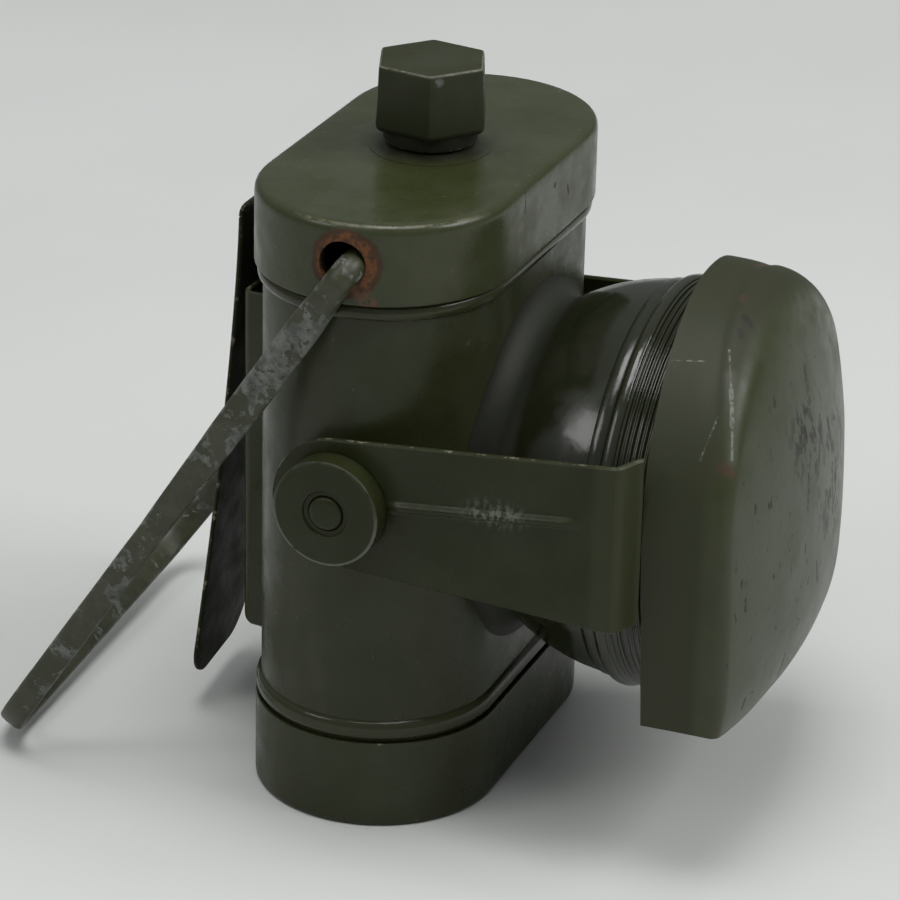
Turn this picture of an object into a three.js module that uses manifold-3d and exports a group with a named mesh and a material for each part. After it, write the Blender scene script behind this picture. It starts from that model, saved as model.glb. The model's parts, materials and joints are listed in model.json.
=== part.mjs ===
// A two-cell bicycle lamp in sheet metal: an upright case with round ends, a lamp head soldered to its front,
// a tilting blackout hood on two arms, a wire carrying handle, a screw-down switch and a belt clip.
// Millimetres, +Z up, the beam towards -Y. The origin is the middle of the bottom cap's lower face.

import * as THREE from 'three';
import { mergeVertices } from 'three/addons/utils/BufferGeometryUtils.js';
import Module from 'manifold-3d';

const wasm = await Module();
wasm.setup();

const fit = 0.3;             // clearance between faces that touch
const slipFit = 0.35;        // clearance of a cap over the case
const overrun = 6;           // how far a cutter runs past what it cuts
const weld = 0.00001;        // vertices closer than this are one

// Case: an upright tube with two flats and two half-round ends
const caseHalfFlat = 17;     // half the flat's length, along X
const caseRadius = 19;
const caseSheet = 0.7;
const beadRise = 0.9;        // how far the rolled beads stand out
const lowerBeadHeight = 3.2;
const upperBeadHeight = 2.5;
const beadGap = 0.4;         // the dark line between a bead and its cap

// Top lid and bottom cap
const lidTop = 102;
const lidSkirt = 13;
const lidSheet = 1;
const lidEdgeRadius = 1.8;
const capHeight = 14.8;
const capSheet = 0.6;
const capEdgeRadius = 0.8;

// Switch in the lid's middle
const knobAcrossFlats = 16.2;
const knobHeight = 10.7;
const knobChamferShare = 0.93;   // of the corner radius, at the top and bottom faces
const knobChamfer = 0.8;
const knobTurn = -3.4;           // degrees from a corner square to the front
const knobNeckRadius = 7.4;
const knobNeckHeight = 2.4;
const knobBoreDepth = 6;
const bushFlangeRadius = 10;
const bushFlange = 0.6;
const bushRadius = 4.2;
const bushLength = 6.5;
const bushNutAcrossFlats = 13;
const bushNutHeight = 3;
const spindleRadius = 2;
const spindleLength = 24;

// Carrying handle, a bent rod with flattened arms
const pivotForward = 1.7;        // the handle's and the hood's pivots lie this far in front of the middle
const handlePivotHeight = 95.4;
const handleHoleRadius = 4.2;
const handleRodRadius = 2;
const handleArmLength = 110.8;
const handleArmWidth = 5.5;
const handleArmThickness = 1.8;
const handleHalfSpan = 38.9;     // middle of an arm, from the lamp's middle
const handleToeIn = 0.9;         // how far each arm leans inwards over its length
const handleRodReach = 33.4;     // where the rod's inner end lies, from the lamp's middle
const handleCorner = 9;
const handleLift = 0.3;          // how far the loose rods ride above the middle of their holes
const handleTilt = 34.2;         // degrees back from hanging straight down
const handleTwist = 1.8;         // degrees about the arms, as far as the loose holes let it
const handleWarp = 1.9;          // degrees more at the crossbar: the handle is a little bent

// Lamp head
const headHeight = 52.4;         // the beam's axis above the foot
const headRadius = 31.8;         // the bowl's sphere
const headCentreDepth = 41;      // the sphere's centre in front of the case's middle
const headSheet = 0.8;
const headBackDepth = 15;
const headStepLength = 2.2;
const headStep = 0.25;
const headThreadLength = 5.2;
const headThreadRadius = 30.3;
const headRimDepth = 45.6;
const ringRadius = 32.5;
const ringGroove = 0.45;
const ringGrooves = 6;
const ringGroovePitch = 1;
const ringGrooveShare = 0.33;    // of the pitch, from a groove's middle to its edge
const ringLip = 0.9;
const ringLipRadius = 28.4;
const lensRadius = 30.2;
const lensThickness = 1.6;
const gasketThickness = 0.8;
const gasketInnerRadius = 28.2;
const reflectorSheet = 0.5;
const reflectorMouth = 28;
const reflectorNeck = 6.6;

// Bulb and its feed
const holderRadius = 5.6;
const holderSheet = 0.6;
const holderLength = 11;
const holderReach = 7.6;         // from the holder's back to the reflector's neck
const holderFlangeRadius = 8.5;
const holderFlange = 0.5;
const bulbBaseShare = 0.47;      // of the space between the bulb's tip contact and the glass
const bulbTipRadius = 1.8;
const bulbTipLength = 1.1;
const bulbGap = 3.9;             // between the bulb and the lamp's glass
const bulbGlobeShare = 0.455;    // the globe's radius, of the bulb glass's length
const bulbNeckAngle = -45;       // degrees, where the globe meets its neck
const feedHoleRadius = 10;
const insulatorRadius = 14;
const insulatorThickness = 1;

// Battery and contacts
const stripThickness = 0.5;
const padThickness = 1.2;
const cellRadius = 15.8;
const cellLength = 58;
const cellNubRadius = 4.7;
const cellNub = 1.5;
const wrapSheet = 0.4;
const wrapMargin = 1;            // how much shorter the wrap is than the cells
const bridgeRise = 3.6;
const bridgeHalfLength = 25;
const bridgeLeaf = 7;
const bridgeWidth = 12;
const boardThickness = 1.5;
const boardNotch = 2.4;          // depth of the notches that let the board pass the pins
const stripWidth = 8;
const stripHalfLength = 10;
const leadWidth = 6;
const leadEnd = 4;
const leadDrop = 6;
const leadNotchDepth = 3;         // depth of the notch in the board in front of the lamp lead
const switchLeafStart = 20;
const switchLeafFoot = 9;
const switchLeafEnd = 5;

// Blackout hood and its arms
const hoodPivotHeight = 57;
const hoodHalfWidth = 34.4;      // at the back rim
const hoodFrontShare = 0.975;     // of the half width, where the wall turns into the front
const hoodWallDepth = 13.8;
const hoodWallFall = 1.6;        // how much shallower the wall is at the open bottom
const hoodDome = 5.9;
const hoodDomeFall = 2.3;          // how much flatter the front is at the open bottom
const hoodFootSlope = 4.8;       // degrees, the open bottom's edge lower in front
const hoodFallPower = 4.4;
const hoodEdgeRadius = 2.6;
const hoodSheet = 0.9;
const hoodRimDepth = 47.8;
const hoodArchHeight = 54.8;
const hoodLegLength = 27.6;      // from the arch's centre down to the open bottom
const hoodYaw = 2.9;               // degrees, the near side forward: the arms are bent
const hoodPitch = -1.4;          // degrees
const armThickness = 1.1;
const armEndRadius = 10.6;
const armStep = 3.3;             // length of the arm's step inwards to the hood's rim, along Y
const armTab = 0.8;
const armTopRise = { left: 14.4, right: 13 };   // the upper edge at the fold, above the pivot
const armBottomDrop = 13;        // the lower edge at the fold, below the pivot
const armRibWidth = 2;
const armRibRise = 0.7;
const armRibLift = 1.2;          // the rib's start above the pivot
const armRibClimb = 3.4;
const armRibMargin = 2.5;
const pinRadius = 2.6;
const pinHeadRadius = 3.4;
const pinHead = 0.5;
const pinEndRadius = 3.1;
const pinEnd = 0.5;
const bossRadius = 8.6;
const bossThickness = 4;
const bossChamfer = 0.5;
const washerRadius = 7;
const washerThickness = 1.6;

// Back sleeve and belt clip
const sleeveHalfWidth = 13.4;
const sleeveDepth = 6.9;
const sleeveSheet = 0.8;
const sleeveBottom = 18.8;
const sleeveHeight = 59;
const sleeveFlange = 3;
const clipHalfWidth = 12;
const clipSheet = 0.8;
const clipBendRadius = 3;
const clipOutDepth = 27.1;         // the free leaf at the bend, from the lamp's middle
const clipBendHeight = 89.6;
const clipLeafDrop = 85;
const clipTip = 9.5;             // how far the leaf's tip stands out from its top
const clipFlare = 1.8;           // power of the leaf's curve
const clipTipRadius = 8;
const clipFootHeight = 34;
const clipKneeHeight = 80;
const rivetRadius = 1.8;
const rivetHeadRadius = 3.2;
const rivetHead = 0.6;
const upperRivetHeight = 62;
const lowerRivetHeight = 43;

// Smoothness
const arcSteps = 10;
const turnSteps = 40;
const smallSteps = 20;
const edgeSteps = 4;
const bowlSteps = 7;
const bossSteps = 30;
const domeSteps = 5;
const legSteps = 4;
const hoodSteps = 12;
const hexSides = 6;
const mitreShare = 0.5;          // the sharpest mitre of a bent strip

const degrees = Math.PI / 180;

const finishes = {
  enamel: new THREE.MeshStandardMaterial({ color: 0x3a3f22, roughness: 0.42, metalness: 0.1 }),
  wornSteel: new THREE.MeshStandardMaterial({ color: 0x6d7064, roughness: 0.55, metalness: 0.7 }),
  brass: new THREE.MeshStandardMaterial({ color: 0xb08d3c, roughness: 0.4, metalness: 0.9 }),
  mirror: new THREE.MeshStandardMaterial({ color: 0xd8d8d4, roughness: 0.08, metalness: 1 }),
  glass: new THREE.MeshStandardMaterial({ color: 0xe6eeec, roughness: 0.05, metalness: 0 }),
  rubber: new THREE.MeshStandardMaterial({ color: 0x1b1b1a, roughness: 0.8, metalness: 0 }),
  fibre: new THREE.MeshStandardMaterial({ color: 0x5a2f1e, roughness: 0.75, metalness: 0 }),
  zinc: new THREE.MeshStandardMaterial({ color: 0x9a9c98, roughness: 0.5, metalness: 0.6 }),
  card: new THREE.MeshStandardMaterial({ color: 0x8a7446, roughness: 0.9, metalness: 0 }),
};

const lamp = new THREE.Group();

function piece(name, geometry, finish, parent = lamp) {
  const mesh = new THREE.Mesh(geometry, finishes[finish]);
  mesh.name = name;
  parent.add(mesh);
  return mesh;
}

function solid(geometry) {
  const bare = new THREE.BufferGeometry();
  bare.setAttribute('position', geometry.getAttribute('position').clone());
  if (geometry.index) bare.setIndex(geometry.index.clone());
  const merged = mergeVertices(bare, weld);
  const corners = Array.from(merged.index.array);
  const kept = [];
  for (let i = 0; i < corners.length; i += 3) {
    const [a, b, c] = corners.slice(i, i + 3);
    if (a !== b && b !== c && c !== a) kept.push(a, b, c);
  }
  return new wasm.Manifold(new wasm.Mesh({
    numProp: 3,
    vertProperties: new Float32Array(merged.getAttribute('position').array),
    triVerts: new Uint32Array(kept),
  }));
}

function surface(body) {
  const mesh = body.getMesh();
  const geometry = new THREE.BufferGeometry();
  geometry.setAttribute('position', new THREE.BufferAttribute(new Float32Array(mesh.vertProperties), 3));
  geometry.setIndex(Array.from(mesh.triVerts));
  geometry.computeVertexNormals();
  return geometry;
}

const cut = (geometry, ...tools) => surface(tools.reduce((body, tool) => body.subtract(solid(tool)), solid(geometry)));
const join = (...parts) => surface(parts.map(solid).reduce((body, part) => body.add(part)));

// Sweeps an outline of [radius, height] points round a segment of the X axis: two half turns and two flats.
// The outline closes on itself, or runs from the axis to the axis.
function obround(outline, halfFlat, steps = arcSteps, flatSteps = 1) {
  const ring = [];
  for (const side of [1, -1]) {
    for (let i = 0; i <= steps; i += 1) {
      const angle = Math.PI * (i / steps - 0.5) + (side < 0 ? Math.PI : 0);
      ring.push([side * halfFlat, Math.cos(angle), Math.sin(angle)]);
    }
    for (let i = 1; i < flatSteps; i += 1) ring.push([side * halfFlat * (1 - 2 * i / flatSteps), 0, side]);
  }
  const positions = outline.flatMap(([r, z]) => ring.flatMap(([x, c, s]) => [x + r * c, r * s, z]));
  const closed = outline[0][0] > 0;
  const rows = closed ? outline.length : outline.length - 1;
  const index = [];
  for (let i = 0; i < rows; i += 1) {
    const next = (i + 1) % outline.length;
    for (let j = 0; j < ring.length; j += 1) {
      const k = (j + 1) % ring.length;
      const [a, b, c, d] = [i * ring.length + j, i * ring.length + k, next * ring.length + k, next * ring.length + j];
      index.push(a, b, c, a, c, d);
    }
  }
  const geometry = new THREE.BufferGeometry();
  geometry.setAttribute('position', new THREE.Float32BufferAttribute(positions, 3));
  geometry.setIndex(index);
  return surface(solid(geometry));
}

const latheAbout = (outline, steps) => {
  const closed = outline[0][0] > 0 ? [...outline, outline[0]] : outline;
  return new THREE.LatheGeometry(closed.map(([r, y]) => new THREE.Vector2(r, y)), steps);
};

// Outlines of [radius, distance along the axis]: up, forward along -Y, or out to one side along X
const turnedUp = (outline, steps = smallSteps) => surface(solid(latheAbout(outline, steps).rotateX(Math.PI / 2)));
const turnedForward = (outline, steps = turnSteps) => surface(solid(latheAbout(outline, steps).rotateX(Math.PI)));
const turnedSide = (outline, side, steps = smallSteps) =>
  surface(solid(latheAbout(outline, steps).rotateZ(-side * Math.PI / 2)));

// A tube wall, or a rod where the inner radius is 0
function sleeveOutline(inner, outer, from, to) {
  return inner > 0
    ? [[outer, from], [outer, to], [inner, to], [inner, from]]
    : [[0, from], [outer, from], [outer, to], [0, to]];
}

const box = (low, high) => {
  const size = high.map((value, i) => value - low[i]);
  return new THREE.BoxGeometry(...size).translate(...low.map((value, i) => value + size[i] / 2));
};

// A straight-sided plate from an outline in the plane of its first two axes, thick along the third
function plate(outline, thickness) {
  const shape = new THREE.Shape(outline.map(([a, b]) => new THREE.Vector2(a, b)));
  return new THREE.ExtrudeGeometry(shape, { depth: thickness, bevelEnabled: false }).translate(0, 0, -thickness / 2);
}

// The outline of a bent strip: its middle line, thickened to both sides
function stripOutline(line, thickness) {
  const points = line.map(([a, b]) => new THREE.Vector2(a, b));
  const left = [];
  const right = [];
  points.forEach((point, i) => {
    const before = point.clone().sub(points[Math.max(i - 1, 0)]).normalize();
    const after = points[Math.min(i + 1, points.length - 1)].clone().sub(point).normalize();
    const along = before.clone().add(after).normalize();
    const reach = thickness / 2 / Math.max(along.dot(i ? before : after), mitreShare);
    const normal = new THREE.Vector2(-along.y, along.x).multiplyScalar(reach);
    left.push(point.clone().add(normal).toArray());
    right.push(point.clone().sub(normal).toArray());
  });
  return [...right, ...left.reverse()];
}

// Strips bent in the YZ plane or the XZ plane, straight across the other axis
const plateYZ = (outline, thickness) => plate(outline, thickness).applyMatrix4(new THREE.Matrix4().makeBasis(
  new THREE.Vector3(0, 1, 0), new THREE.Vector3(0, 0, 1), new THREE.Vector3(1, 0, 0)));
const stripYZ = (line, thickness, width) => plateYZ(stripOutline(line, thickness), width);
const stripXZ = (line, thickness, width) => plate(stripOutline(line, thickness), width).rotateX(Math.PI / 2);

const arc = (centre, radius, from, to, steps) => Array.from({ length: steps + 1 }, (_, i) => {
  const angle = (from + (to - from) * i / steps) * degrees;
  return [centre[0] + radius * Math.cos(angle), centre[1] + radius * Math.sin(angle)];
});

// Case

const caseInside = caseRadius - caseSheet;
const caseBottom = capSheet + fit;
const caseTop = lidTop - lidSheet - fit;
const lowerBead = capHeight + beadGap + lowerBeadHeight / 2;
const upperBead = lidTop - lidSkirt - beadGap / 2 - upperBeadHeight / 2;
const frontHole = turnedForward(sleeveOutline(0, feedHoleRadius, 0, caseRadius + overrun)).translate(0, 0, headHeight);
const sideHole = (radius, height) => join(...[-1, 1].map((side) => turnedSide(
  sleeveOutline(0, radius, caseHalfFlat, caseHalfFlat + caseRadius + overrun), side)
  .translate(0, -pivotForward, height)));
const backHole = (radius, height) => turnedForward(
  sleeveOutline(0, radius, -caseRadius - overrun, -caseInside + caseSheet), smallSteps).translate(0, 0, height);

const bead = (radius, middle, height) => Array.from({ length: edgeSteps + 1 }, (_, i) => {
  const angle = Math.PI * i / edgeSteps;
  return [radius + beadRise * Math.sin(angle), middle - height / 2 * Math.cos(angle)];
});
const caseWall = (radius) => [
  [radius, caseBottom],
  ...bead(radius, lowerBead, lowerBeadHeight),
  ...bead(radius, upperBead, upperBeadHeight),
  [radius, caseTop],
];

piece('case_body', cut(
  obround([...caseWall(caseRadius), ...caseWall(caseInside).reverse()], caseHalfFlat),
  frontHole,
  sideHole(pinRadius + fit, hoodPivotHeight),
  sideHole(handleHoleRadius, handlePivotHeight),
  backHole(rivetRadius + fit, upperRivetHeight),
  backHole(rivetRadius + fit, lowerRivetHeight),
), 'enamel');

// A pressed cap for the case's round-ended outline, its flat at one height and its rim at another
function pressedCap(flat, rim, sheet, gap, edge) {
  const up = Math.sign(flat - rim);
  const outer = caseRadius + gap + sheet;
  const inner = caseRadius + gap;
  const corner = Array.from({ length: edgeSteps + 1 }, (_, i) => {
    const angle = Math.PI / 2 * i / edgeSteps;
    return [outer - edge + edge * Math.cos(angle), flat - up * (edge - edge * Math.sin(angle))];
  });
  const outline = [[0, flat - up * sheet], [inner, flat - up * sheet], [inner, rim], [outer, rim], ...corner, [0, flat]];
  return obround(up > 0 ? outline : outline.reverse(), caseHalfFlat);
}

const spindleHole = turnedUp(sleeveOutline(0, bushRadius + fit, lidTop - lidSkirt, lidTop + overrun));
piece('top_lid', cut(
  pressedCap(lidTop, lidTop - lidSkirt, lidSheet, slipFit, lidEdgeRadius),
  spindleHole,
  sideHole(handleHoleRadius, handlePivotHeight),
), 'enamel');
piece('bottom_cap', pressedCap(0, capHeight, capSheet, fit, capEdgeRadius), 'enamel');

// Battery, standing on a sprung bridge in the bottom cap

const padBottom = capSheet + fit;
const insideRadius = caseInside - slipFit;
piece('cap_pad', obround(sleeveOutline(0, insideRadius, padBottom, padBottom + padThickness), caseHalfFlat), 'fibre');

const bridgeHeight = padBottom + padThickness + fit + stripThickness / 2;
const bridgeTop = bridgeHeight + bridgeRise;
const bridgeHalf = [
  [caseHalfFlat - bridgeLeaf, bridgeHeight],
  [caseHalfFlat, bridgeTop],
  [bridgeHalfLength, bridgeTop],
];
const mirrored = (line) => line.map(([a, b]) => [-a, b]).reverse();
piece('bridge_contact', stripXZ([...mirrored(bridgeHalf), ...bridgeHalf], stripThickness, bridgeWidth), 'brass');

const cellFoot = bridgeTop + stripThickness / 2 + fit;
const cellOutline = [
  [0, 0],
  [cellRadius, 0],
  [cellRadius, cellLength],
  [cellNubRadius, cellLength],
  [cellNubRadius, cellLength + cellNub],
  [0, cellLength + cellNub],
];
const cell = turnedUp(cellOutline, 2 * arcSteps);
piece('battery_cell_left', cell.clone().translate(-caseHalfFlat, 0, cellFoot), 'zinc');
piece('battery_cell_right', cell.clone().rotateX(Math.PI)
  .translate(caseHalfFlat, 0, cellFoot + cellLength + cellNub), 'zinc');
const wrapInside = cellRadius + fit;
const wrapFoot = cellFoot + cellNub;
const wrapTop = wrapFoot + cellLength - wrapMargin;
piece('battery_wrap', obround(sleeveOutline(wrapInside, wrapInside + wrapSheet, wrapFoot, wrapTop), caseHalfFlat), 'card');

// Contact board and strips above the battery

const batteryTop = cellFoot + cellLength + cellNub;
const stripHeight = batteryTop + fit + stripThickness / 2;
const boardBottom = stripHeight + stripThickness / 2 + fit;
const boardTop = boardBottom + boardThickness;
const boardSlot = box([caseHalfFlat - stripThickness * 2, -stripWidth / 2 - fit, boardBottom - overrun],
  [caseHalfFlat + stripThickness * 2, stripWidth / 2 + fit, boardTop + overrun]);
const boardNotches = [-1, 1].map((side) => {
  const inner = caseHalfFlat + insideRadius - boardNotch;
  const ends = [side * inner, side * (inner + boardNotch + overrun)].sort((a, b) => a - b);
  return box([ends[0], -pivotForward - pinHeadRadius - fit, boardBottom - overrun],
    [ends[1], -pivotForward + pinHeadRadius + fit, boardTop + overrun]);
});
const leadNotch = box([-leadWidth / 2 - fit, -insideRadius - overrun, boardBottom - overrun],
  [leadWidth / 2 + fit, -insideRadius + leadNotchDepth, boardTop + overrun]);
piece('contact_board', cut(
  obround(sleeveOutline(0, insideRadius, boardBottom, boardTop), caseHalfFlat),
  boardSlot,
  leadNotch,
  ...boardNotches,
), 'fibre');
piece('positive_strip', stripXZ([[-caseHalfFlat - stripHalfLength / 2, stripHeight], [stripHalfLength / 2, stripHeight]],
  stripThickness, stripWidth), 'brass');

const spindleTop = lidTop + bushFlange + fit * 2 + knobBoreDepth;
const spindleFoot = spindleTop - spindleLength;
const leafTop = spindleFoot - fit - stripThickness / 2;
const leafFoot = boardTop + fit + stripThickness / 2;
piece('switch_contact', stripXZ([
  [switchLeafStart, stripHeight],
  [caseHalfFlat, stripHeight],
  [caseHalfFlat, leafFoot],
  [switchLeafFoot, leafFoot],
  [switchLeafEnd, leafTop],
  [-switchLeafEnd, leafTop],
], stripThickness, stripWidth), 'brass');

const wallStrip = caseInside - fit - stripThickness / 2;
const leadStart = stripWidth / 2 + fit;
const tipDepth = caseRadius + fit + insulatorThickness + fit * 2 + stripThickness / 2;
piece('lamp_lead', stripYZ([
  [-leadStart, stripHeight],
  [-wallStrip, stripHeight],
  [-wallStrip, headHeight + leadDrop],
  [-tipDepth, headHeight + leadEnd],
  [-tipDepth, headHeight - leadEnd],
], stripThickness, leadWidth), 'brass');
piece('lead_insulator', cut(
  turnedForward(sleeveOutline(0, insulatorRadius, caseRadius + fit, caseRadius + fit + insulatorThickness), smallSteps)
    .translate(0, 0, headHeight),
  box([-leadWidth / 2 - fit, -caseRadius - overrun, headHeight - leadEnd],
    [leadWidth / 2 + fit, -caseRadius + overrun, headHeight + leadDrop + stripThickness]),
), 'fibre');

// Switch: a flanged bush in the lid, its nut below, and a hexagonal knob on a screw spindle

const bushTop = lidTop + fit + bushFlange;
piece('switch_bush', turnedUp([
  [spindleRadius + fit, lidTop - bushLength],
  [bushRadius, lidTop - bushLength],
  [bushRadius, lidTop + fit],
  [bushFlangeRadius, lidTop + fit],
  [bushFlangeRadius, bushTop],
  [spindleRadius + fit, bushTop],
]), 'enamel');

const cornerOf = (acrossFlats) => acrossFlats / 2 / Math.cos(Math.PI / hexSides);
const hexagon = (outline) => latheAbout(outline, hexSides).rotateX(Math.PI / 2).rotateZ(knobTurn * degrees);
const nutTop = lidTop - lidSheet - fit;
piece('bush_nut', cut(
  hexagon(sleeveOutline(0, cornerOf(bushNutAcrossFlats), nutTop - bushNutHeight, nutTop)),
  turnedUp(sleeveOutline(0, bushRadius + fit, nutTop - bushNutHeight - overrun, nutTop + overrun)),
), 'brass');

piece('switch_spindle', turnedUp(sleeveOutline(0, spindleRadius, spindleFoot, spindleTop)), 'brass');
const knobFoot = bushTop + fit;
const hexFoot = knobFoot + knobNeckHeight;
const knobTop = hexFoot + knobHeight;
const knobCorner = cornerOf(knobAcrossFlats);
piece('switch_knob', cut(
  join(
    hexagon([
      [0, hexFoot],
      [knobCorner * knobChamferShare, hexFoot],
      [knobCorner, hexFoot + knobChamfer],
      [knobCorner, knobTop - knobChamfer],
      [knobCorner * knobChamferShare, knobTop],
      [0, knobTop],
    ]),
    turnedUp(sleeveOutline(0, knobNeckRadius, knobFoot, hexFoot + knobChamfer)),
  ),
  turnedUp(sleeveOutline(0, spindleRadius + fit, knobFoot - overrun, spindleTop + fit)),
), 'enamel');

// Carrying handle, drawn hanging straight down from its pivot

const handle = new THREE.Group();
handle.position.set(0, -pivotForward, handlePivotHeight + handleLift);
handle.rotation.set(handleTilt * degrees, 0, handleTwist * degrees);
lamp.add(handle);
const handleLine = [
  [handleHalfSpan, 0],
  ...arc([handleHalfSpan - handleToeIn - handleCorner, -handleArmLength + handleCorner], handleCorner,
    0, -90, edgeSteps * 2),
];
const handleBow = plate(
  stripOutline([...handleLine, ...mirrored(handleLine)], handleArmThickness), handleArmWidth).rotateX(Math.PI / 2);
const handleEnds = [-1, 1].map((side) => turnedSide(sleeveOutline(
  0, handleRodRadius, handleRodReach, handleHalfSpan + handleArmThickness / 2), side, smallSteps));
const handleEyes = [-1, 1].map((side) => turnedSide(sleeveOutline(
  0, handleArmWidth / 2, handleHalfSpan - handleArmThickness / 2, handleHalfSpan + handleArmThickness / 2), side));
function warped(geometry) {
  const points = geometry.getAttribute('position');
  const corner = new THREE.Vector3();
  for (let i = 0; i < points.count; i += 1) {
    corner.fromBufferAttribute(points, i);
    const share = Math.max(0, -corner.z / handleArmLength);
    corner.applyAxisAngle(new THREE.Vector3(0, 0, 1), handleWarp * degrees * share);
    points.setXYZ(i, ...corner);
  }
  return geometry;
}
piece('carry_handle', warped(join(handleBow, ...handleEnds, ...handleEyes)), 'wornSteel', handle);

// Lamp head

const onSphere = (radius, depth) => Math.sqrt(radius ** 2 - (depth - headCentreDepth) ** 2);
const spherePoints = (radius, from, to, steps) => Array.from({ length: steps + 1 }, (_, i) => {
  const a = Math.acos((from - headCentreDepth) / radius);
  const b = Math.acos((to - headCentreDepth) / radius);
  const depth = headCentreDepth + radius * Math.cos(a + (b - a) * i / steps);
  return [onSphere(radius, depth), depth];
});
const headThreadDepth = headRimDepth - headThreadLength;
const headStepDepth = headThreadDepth - headStepLength;
const caseBlock = obround(
  sleeveOutline(0, caseRadius + fit, caseBottom - overrun, caseTop + overrun), caseHalfFlat, arcSteps * 2);
piece('head_shell', cut(
  turnedForward([
    ...spherePoints(headRadius, headBackDepth, headStepDepth, arcSteps),
    [onSphere(headRadius, headStepDepth) + headStep, headStepDepth],
    [onSphere(headRadius, headStepDepth) + headStep, headThreadDepth],
    [headThreadRadius, headThreadDepth],
    [headThreadRadius, headRimDepth],
    [headThreadRadius - headSheet, headRimDepth],
    ...spherePoints(headRadius - headSheet, headBackDepth, headStepDepth, bowlSteps)
      .map(([r, depth]) => [Math.min(r, headThreadRadius - headSheet), depth]).reverse(),
  ]).translate(0, 0, headHeight),
  caseBlock,
), 'enamel');

const reflectorRim = headRimDepth + fit;
const gasketDepth = reflectorRim + reflectorSheet + fit;
const lensDepth = gasketDepth + gasketThickness + fit;
const lipDepth = lensDepth + lensThickness + fit;
const ringFront = lipDepth + ringLip;
const ringBack = headThreadDepth + fit;
const grooves = Array.from({ length: ringGrooves }, (_, i) => {
  const middle = ringBack + ringGroovePitch * (i + 1);
  const half = ringGroovePitch * ringGrooveShare;
  return [[ringRadius, middle - half], [ringRadius - ringGroove, middle], [ringRadius, middle + half]];
}).flat();
const onAxis = (geometry) => geometry.translate(0, 0, headHeight);
piece('lens_ring', onAxis(turnedForward([
  [ringRadius, ringBack],
  ...grooves,
  [ringRadius, ringFront - ringLip / 2],
  [ringRadius - ringLip / 2, ringFront],
  [ringLipRadius, ringFront],
  [ringLipRadius, lipDepth],
  [headThreadRadius + fit, lipDepth],
  [headThreadRadius + fit, ringBack],
])), 'enamel');
piece('lens_glass', onAxis(turnedForward(sleeveOutline(0, lensRadius, lensDepth, lensDepth + lensThickness))), 'glass');
piece('lens_gasket', onAxis(turnedForward(sleeveOutline(
  gasketInnerRadius, lensRadius, gasketDepth, gasketDepth + gasketThickness))), 'rubber');

const holderBack = tipDepth + stripThickness / 2 + fit;
const neckDepth = holderBack + holderReach;
const bowlDepth = (radius) => reflectorRim - (reflectorRim - neckDepth)
  * (reflectorMouth ** 2 - radius ** 2) / (reflectorMouth ** 2 - reflectorNeck ** 2);
const bowlRadii = Array.from({ length: bowlSteps + 1 }, (_, i) =>
  reflectorNeck + (reflectorMouth - reflectorNeck) * i / bowlSteps);
piece('reflector', onAxis(turnedForward([
  ...bowlRadii.map((r) => [r, bowlDepth(r)]),
  [lensRadius, reflectorRim],
  [lensRadius, reflectorRim + reflectorSheet],
  ...bowlRadii.map((r) => [r, bowlDepth(r) + reflectorSheet]).reverse(),
])), 'mirror');

const holderFlangeDepth = neckDepth - fit - holderFlange;
piece('bulb_holder', onAxis(turnedForward([
  [holderRadius, holderBack],
  [holderRadius, holderFlangeDepth],
  [holderFlangeRadius, holderFlangeDepth],
  [holderFlangeRadius, holderFlangeDepth + holderFlange],
  [holderRadius, holderFlangeDepth + holderFlange],
  [holderRadius, holderBack + holderLength],
  [holderRadius - holderSheet, holderBack + holderLength],
  [holderRadius - holderSheet, holderBack],
], smallSteps)), 'brass');

const bulbBaseRadius = holderRadius - holderSheet - fit;
const bulbFront = lensDepth - bulbGap;
const bulbShoulder = holderBack + bulbTipLength + (bulbFront - holderBack - bulbTipLength) * bulbBaseShare;
piece('bulb_base', onAxis(turnedForward([
  [0, holderBack],
  [bulbTipRadius, holderBack],
  [bulbTipRadius, holderBack + bulbTipLength],
  [bulbBaseRadius, holderBack + bulbTipLength],
  [bulbBaseRadius, bulbShoulder],
  [0, bulbShoulder],
], smallSteps)), 'brass');
const bulbGlassBack = bulbShoulder + fit;
const globeRadius = (bulbFront - bulbGlassBack) * bulbGlobeShare;
const globeDepth = bulbFront - globeRadius;
piece('bulb_glass', onAxis(turnedForward([
  [0, bulbGlassBack],
  [globeRadius * Math.cos(bulbNeckAngle * degrees), bulbGlassBack],
  ...arc([0, globeDepth], globeRadius, bulbNeckAngle, 90, edgeSteps * 2).slice(0, -1),
  [0, bulbFront],
], smallSteps)), 'glass');

// Blackout hood, drawn with its arch's centre at the origin and its back rim on the plane Y = 0

const hood = new THREE.Group();
hood.position.set(0, -hoodRimDepth, hoodArchHeight);
hood.rotation.set(hoodPitch * degrees, 0, hoodYaw * degrees, 'ZYX');
lamp.add(hood);

const hoodCrown = hoodHalfWidth * hoodFrontShare - hoodEdgeRadius;
const domeShare = (r) => Math.max(0, 1 - (r / hoodCrown) ** 2);
const hoodOutline = (inset) => {
  const edgeLift = Math.asin(hoodDome / hoodCrown / 2) / degrees;
  return [
    [hoodHalfWidth - inset, 0],
    ...arc([hoodCrown, hoodWallDepth - hoodEdgeRadius], hoodEdgeRadius - inset, 0, 90 - edgeLift, edgeSteps),
    ...Array.from({ length: domeSteps }, (_, i) => {
      const r = hoodCrown * (1 - (i + 1) / domeSteps);
      return [r, hoodWallDepth - inset + hoodDome * domeShare(r)];
    }),
  ];
};

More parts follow.
